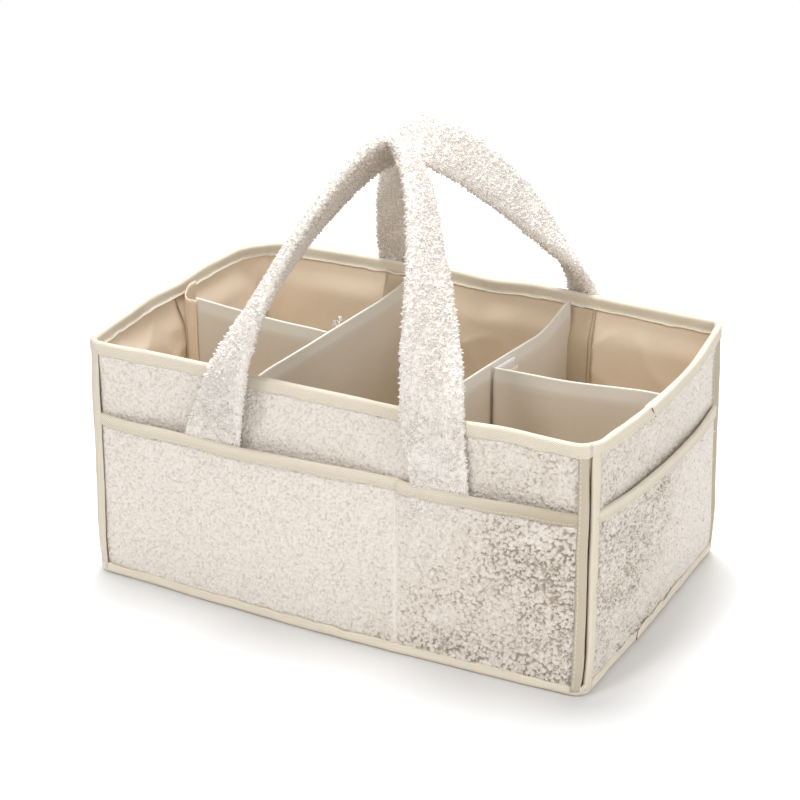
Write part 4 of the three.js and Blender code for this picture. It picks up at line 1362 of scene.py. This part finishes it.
def side_plan(hand):
    """A side divider's line on the floor, and its height along that."""
    x = np.linspace(*SIDE_ENDS[hand], 60)
    outer = np.abs(x) / HALF_LENGTH
    y = SIDE_Y[hand] + 1.6 * np.sin(math.pi * np.linspace(0, 1, len(x)))
    top = COVER_TOP - 1.5 + 6.0 * smooth((outer - 0.45) / 0.55) ** 2 + 0.5 * noise(x / 35, 1.5, 6)
    return np.stack([x, y], -1), top


def leaned(stations, hand):
    """A side divider's wall end leans out with its wall."""
    outward = smooth((SIDES[hand] * stations[..., 0] - 110) / 75) * smooth((stations[..., 2] - 30) / 130)
    return stations + outward[..., None] * np.array([SIDE_LEAN[hand], 0.0, 0.0])


def upright(plan, offsets, heights, top):
    """Sections along a plan: offsets to its left side, and heights that rise with its top edge."""
    along = np.gradient(plan, axis=0)
    left = unit(np.stack([-along[:, 1], along[:, 0]], -1))
    flat = plan[:, None] + left[:, None] * offsets[..., None]
    z = heights + (top - COVER_TOP)[:, None] * smooth((heights - RISE_FROM) / (COVER_TOP - RISE_FROM))
    return np.concatenate([flat, z[..., None]], -1)


def belong_divider(piece, hand, kind, slot, node):
    """A side divider rides on its body. A cross divider's rear end stays sewn to the back wall, and its
    pieces ride on no body.
    """
    body = f"{hand}_{kind}_divider"
    if kind == "side":
        return belong(piece, body, slot, node)
    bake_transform(piece)
    stand_for(piece, slot, node)
    return piece


def divider_cover(hand, kind, plan, top, seed):
    """A cloth cover with a rolled top edge and a sewn hem line under it."""
    bottom = box_mm(f"{hand}_{kind}_divider_cover")[0][2]
    shoulder = COVER_TOP - COVER_EDGE
    lower, upper = COVER_ROWS
    heights = np.concatenate([
        np.linspace(bottom, COVER_TOP - 18, lower), np.linspace(COVER_TOP - 17, shoulder, upper),
    ])
    hem = HEM_DENT * bell((heights - COVER_TOP + HEM) / 1.1)
    taper = (COVER_HALF - COVER_EDGE) * smooth((heights - COVER_TOP + HEM) / HEM)
    turn = np.linspace(0, math.pi, 9)[1:-1]
    half = COVER_HALF - hem - taper
    offsets = np.concatenate([half, COVER_EDGE * np.cos(turn), -half[::-1]])
    profile = np.concatenate([heights, shoulder + COVER_EDGE * np.sin(turn), heights[::-1]])
    run = run_along(plan)
    along = run[:, None]
    wrinkle = ripples(along, profile, COVER_WAVES, seed)
    offset_grid = offsets + wrinkle * edge_fade(along, 0, run[-1], COVER_FADE)
    height_grid = np.broadcast_to(profile, offset_grid.shape)
    stations = leaned(upright(plan, offset_grid, height_grid, top), hand)
    weave = paired(along, profile + FAR_SIDE * (offsets < 0))
    # Paler from the hem line up: partly the doubled cloth, partly a painted sheen on the divider's top
    hem_and_sheen = HEM_AND_SHEEN_PALENESS * smooth((profile - COVER_TOP + HEM + 1.5) / 3.0)
    hem_grid = np.broadcast_to(hem_and_sheen[::-1], stations.shape[:2])
    piece = swept(f"{hand}_{kind}_cover", stations[:, ::-1], COVER, weave[:, ::-1], closed=False,
                  values={"hem": hem_grid})
    belong_divider(piece, hand, kind, "divider_cover", f"{hand}_{kind}_divider_cover")
    return cloth(piece, run[-1], COVER_TOP - bottom, f"{hand}_{kind}_stiffener")


def divider_board(hand, kind, plan, top):
    """The board inside a divider's cover."""
    plan, top = plan[2:-2], top[2:-2]
    heights = np.linspace(10.0, COVER_TOP - HEM - 2.0, 12)
    grid = np.broadcast_to(heights, (len(plan), len(heights)))
    offsets = [np.full(grid.shape, side * BOARD_HALF) for side in (1, -1)]
    front, back = [leaned(upright(plan, offset, grid, top), hand) for offset in offsets]
    weave = paired(plan[:, :1] + plan[:, 1:], grid)
    piece = slab(f"{hand}_{kind}_stiffener", front, back, BOARD, weave)
    return belong_divider(piece, hand, kind, "stiffener", f"{hand}_{kind}_divider_board")


def wall_strip(name, wall, u_ends, z_ends, layer, *role):
    """A strip of cloth that lies on the lining. role is its body, slot and node."""
    gap, thickness, material = layer
    u, z = np.meshgrid(*[np.linspace(*ends, count) for ends, count in zip((u_ends, z_ends), STRIP_GRID)])
    deepest = lining_depth(wall, u, z).max(1)
    eased = np.polynomial.Polynomial.fit(z[:, 0], deepest, 4)(z[:, 0])
    depth = (eased + np.max(deepest - eased))[:, None] + gap + 0 * u
    front, back = wall.place(u, depth + thickness, z), wall.place(u, depth, z)
    piece = slab(name, front[:, ::-1], back[:, ::-1], material, np.stack([u, z], -1)[:, ::-1])
    return belong(piece, *role)


def cross_strip(name, hand, y_ends, top, layer, *role):
    """A strip that lies on a cross divider's outer face. role is its body, slot and node."""
    gap, thickness, material = layer
    side = SIDES[hand]
    y, z = np.meshgrid(np.linspace(*y_ends, PATCH_GRID[0]), np.linspace(TAB_FOOT, top, PATCH_GRID[1]))
    front, back = [
        np.stack([cross_x(hand, y) + side * (COVER_HALF + COVER_CLEARANCE + reach), y, z], -1)[:, ::side]
        for reach in (gap + thickness, gap)
    ]
    return belong(slab(name, front, back, material, np.stack([y, z], -1)), *role)


def wall_tab(hand, side, y):
    """A side divider's tab: sewn over the cover's end, it runs to the wall and turns back along it."""
    foot_x, head_x = TAB_WALL_X[hand]
    corners = np.array(TAB_PLAN) + (0.0, y - TAB_FRONT[hand])
    plan = resample(np.column_stack([corners, np.zeros(len(corners))]), TAB_STEP)[:, :2]
    past = np.linspace(0, 1, len(plan))[:, None]
    top = TAB_TOP[hand] + TAB_CURL[hand] * smooth((past - 0.25) / 0.5)
    z = TAB_FOOT + (top - TAB_FOOT) * np.linspace(0, 1, TAB_ROWS)[None, :]
    wall_x = foot_x + (head_x - foot_x) * smooth((z - TAB_FOOT) / 110)
    along = np.gradient(plan, axis=0) * np.array([-side, 1.0])
    left = unit(np.stack([-along[:, 1], along[:, 0]], -1))[:, None]
    middle = np.stack(np.broadcast_arrays(wall_x - side * plan[:, :1], plan[:, 1:], z), -1)
    thickness = TAB_HALF * np.concatenate([left, np.zeros(left.shape[:2] + (1,))], -1)
    weave = paired(np.arange(len(plan))[:, None] * TAB_STEP, z)
    piece = slab(f"{hand}_side_divider_wall_flange", middle - thickness, middle + thickness, TAB, weave)
    belong(piece, f"{hand}_side_divider", "tab_cloth", f"{hand}_side_divider_wall_tab")


FRAY_COUNT = 9
FRAY_HEIGHTS = (4.0, 9.0)
FRAY_RADIUS = 0.45
FRAY_ENDS = (6.0, 20.0)


def frayed_threads(hand):
    """Loose threads at the top of a cross divider's loop patch."""
    rng = np.random.default_rng(71)
    y = rng.uniform(SIDE_Y[hand] + FRAY_ENDS[0], SIDE_Y[hand] + FRAY_ENDS[1], FRAY_COUNT)[:, None]
    climb = np.linspace(0, 1, 7)[None, :]
    height = rng.uniform(*FRAY_HEIGHTS, FRAY_COUNT)[:, None]
    sway = rng.uniform(-4, 4, (2, FRAY_COUNT))[..., None] * climb**2
    pitch = rng.uniform(3, 7, FRAY_COUNT)[:, None]
    phase = rng.uniform(0, 6, FRAY_COUNT)[:, None]
    x = cross_x(hand, y) - COVER_HALF + sway[0] * 0.4 + 1.2 * np.sin(pitch * climb + phase) * climb
    lines = np.stack([x, y + sway[1], COVER_TOP - 4.0 + height * climb], -1)
    piece = thread_piece(f"{hand}_cross_frayed_threads", lines, FRAY_RADIUS, LOOP)
    belong(piece, f"{hand}_cross_divider", "hook_loop")


def dividers(hand):
    """A cross divider and a side divider, with their tabs, and the strips and patch that these stick to."""
    side = SIDES[hand]
    cross_body, side_body = f"{hand}_cross_divider", f"{hand}_side_divider"
    for kind, (plan, top) in (("cross", cross_plan(hand)), ("side", side_plan(hand))):
        divider_cover(hand, kind, plan, top, COVER_SEEDS[kind])
        divider_board(hand, kind, plan, top)
    for end, wall, facing, body in (("front", FRONT, 1, cross_body), ("rear", BACK, -1, "caddy")):
        x = cross_x(hand, -CROSS_END * facing)
        reach, sewn = [
            sorted((facing * (x - side * margin), facing * (x + side * (TAB_REACH + margin))))
            for margin in (0.0, STRIP_MARGIN)
        ]
        wall_strip(f"{hand}_cross_{end}_strip", wall, sewn, (TAB_FOOT, STRIP_TOP), STRIP_LAYER,
                   "caddy", "hook_loop", f"{hand}_cross_{end}_loop_strip")
        wall_strip(f"{cross_body}_{end}_flange", wall, reach, (TAB_FOOT, FLANGE_TOP), FLANGE_LAYER,
                   body, "tab_cloth", f"{cross_body}_{end}_tab")
    y = SIDE_Y[hand]
    sewn = sorted((side * (y - STRIP_FRONT[hand]), side * (y + TAB_REACH)))
    wall_strip(f"{hand}_wall_strip", LEFT if hand == "left" else RIGHT, sewn, (TAB_FOOT, STRIP_TOP),
               STRIP_LAYER, "caddy", "hook_loop", f"{hand}_wall_loop_strip")
    wall_tab(hand, side, y)
    cross_strip(f"{hand}_cross_patch", hand, [y + end for end in PATCH_ENDS], PATCH_TOP[hand], PATCH_LAYER,
                cross_body, "hook_loop", f"{hand}_cross_loop_patch")
    tab_reach, tab_top = INNER_TAB[hand]
    cross_strip(f"{side_body}_inner_flange", hand, (y + 2.0, y + tab_reach), tab_top, INNER_TAB_LAYER,
                side_body, "tab_cloth", f"{side_body}_inner_tab")


# Stage
CAMERA_AZIMUTH = math.radians(27.983)
CAMERA_ELEVATION = math.radians(23.731)
CAMERA_EYE = (0.6572, -1.2505, 0.7502)
CAMERA_LENS = 97.19
SENSOR_WIDTH = 36.0
VIEW_REACH = 20.0
AMBIENT = 0.48
FLOOR_SHADE = 0.8
FLOOR_REACH = 1.0
FLOOR_POINTS = 120
MIDDLE = Vector((0, 0, 0.1))
LIGHTS = {  # place, diameter and power
    "key": ((-0.3, -1.5, 1.9), 0.5, 14),
    "front": ((1.5, -1.7, 0.9), 1.4, 4),
    "right": ((2.2, -0.9, 1.0), 1.2, 13),
    "top": ((-0.35, 0.3, 2.4), 1.0, 42),
    "back": ((-0.1, 1.1, 2.1), 1.4, 24),
}


def stand(name, data, place, direction):
    """A camera or a lamp, at a place and turned in a direction."""
    thing = linked(name, data)
    thing.location = place
    thing.rotation_euler = direction.to_track_quat("-Z", "Y").to_euler()
    return thing


def camera():
    """The photograph's point of view."""
    data = bpy.data.cameras.new("camera")
    data.lens = CAMERA_LENS
    data.sensor_width = SENSOR_WIDTH
    data.clip_end = VIEW_REACH
    back = Vector((
        math.sin(CAMERA_AZIMUTH) * math.cos(CAMERA_ELEVATION),
        -math.cos(CAMERA_AZIMUTH) * math.cos(CAMERA_ELEVATION),
        math.sin(CAMERA_ELEVATION),
    ))
    bpy.context.scene.camera = stand("camera", data, CAMERA_EYE, -back)


def area_light(name, place, size, power):
    """A round lamp that shines on the middle of the object."""
    data = bpy.data.lights.new(name, "AREA")
    data.shape = "DISK"
    data.size = size
    data.energy = power
    stand(name, data, place, MIDDLE - Vector(place))


def world():
    """White to the camera and through what is clear, and a plainer soft light on everything else."""
    nodes = Nodes("studio", "worlds", "Background")
    path = nodes.add("ShaderNodeLightPath").outputs
    seen = nodes.math("MAXIMUM", path["Is Camera Ray"], path["Is Transmission Ray"])
    level = nodes.add("ShaderNodeMix", {0: seen, 2: AMBIENT, 3: 1.0}).outputs[0]
    nodes.feed(nodes.shader, {"Color": (1, 1, 1, 1), "Strength": level})
    bpy.context.scene.world = nodes.owner


def floor():
    """A plain pale round floor."""
    turn = np.linspace(0, 2 * math.pi, FLOOR_POINTS, endpoint=False)
    edge = FLOOR_REACH * np.stack([np.cos(turn), np.sin(turn), 0 * turn], -1)
    mesh = bpy.data.meshes.new("floor")
    mesh.from_pydata(edge.tolist(), [], [tuple(range(FLOOR_POINTS))])
    nodes = Nodes("floor")
    color = (FLOOR_SHADE, FLOOR_SHADE, FLOOR_SHADE, 1)
    nodes.feed(nodes.shader, {"Base Color": color, "Roughness": 0.9, "Specular IOR Level": 0.1})
    mesh.materials.append(nodes.owner)
    ground = linked("floor", mesh)
    ground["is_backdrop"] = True


camera()
world()
floor()
for name, (place, size, power) in LIGHTS.items():
    area_light(name, place, size, power)

OUTER_SEED, POCKET_SEED = 20, 30
for number, side in enumerate(WALLS):
    outer_cloth(side, OUTER_SEED + number)
    pocket_cloth(side, POCKET_SEED + number)
    mouth_tape(side)
    bent_board(side)
rim_tape()
base_tape()
lap_end("rim_lap_shadow", RIGHT, RIM_LAPS["right"], (HEIGHT - RIM_LEG - 0.5, HEIGHT - 0.8), -RIM_PROUD - 0.7,
        RIM_LAP_SLANT)
lap_end("base_lap_shadow", RIGHT, BASE_LAPS["right"], (3.0, BASE_TAPE_TOP + 1.0), -0.6)
CORNER_TAPES = (
    (FRONT, "front_panel_left", "front_panel_right"),
    (RIGHT, "right_panel_front", "right_panel_back"),
    (BACK, "back_panel_right", "back_panel_left"),
    (LEFT, "left_panel_back", "left_panel_front"),
)
for side, *panels in CORNER_TAPES:
    for end, panel in zip((-1, 1), panels):
        corner_tape(side, end, panel)
lining()
flat_cloth("lining_floor", "base_lining", LINING_THICKNESS, wrinkle=0.25, seed=41)
flat_cloth("base_cloth", "base_outer", BASE_CLOTH_THICKNESS, wrinkle=0.08, seed=43)
strap("front", FRONT, seed=51)
strap("rear", BACK, seed=52)
for hand in ("left", "right"):
    dividers(hand)
frayed_threads("left")

for piece in frame["nodes"].values():
    if not piece.hide_render:
        piece.data.materials.clear()
        piece.data.materials.append(BOARD)

bpy.context.scene.view_settings.view_transform = "Standard"
boxes = {"cad": cad_box, "visual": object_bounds()}
{key: [list(corner) for corner in value] for key, value in boxes.items()}
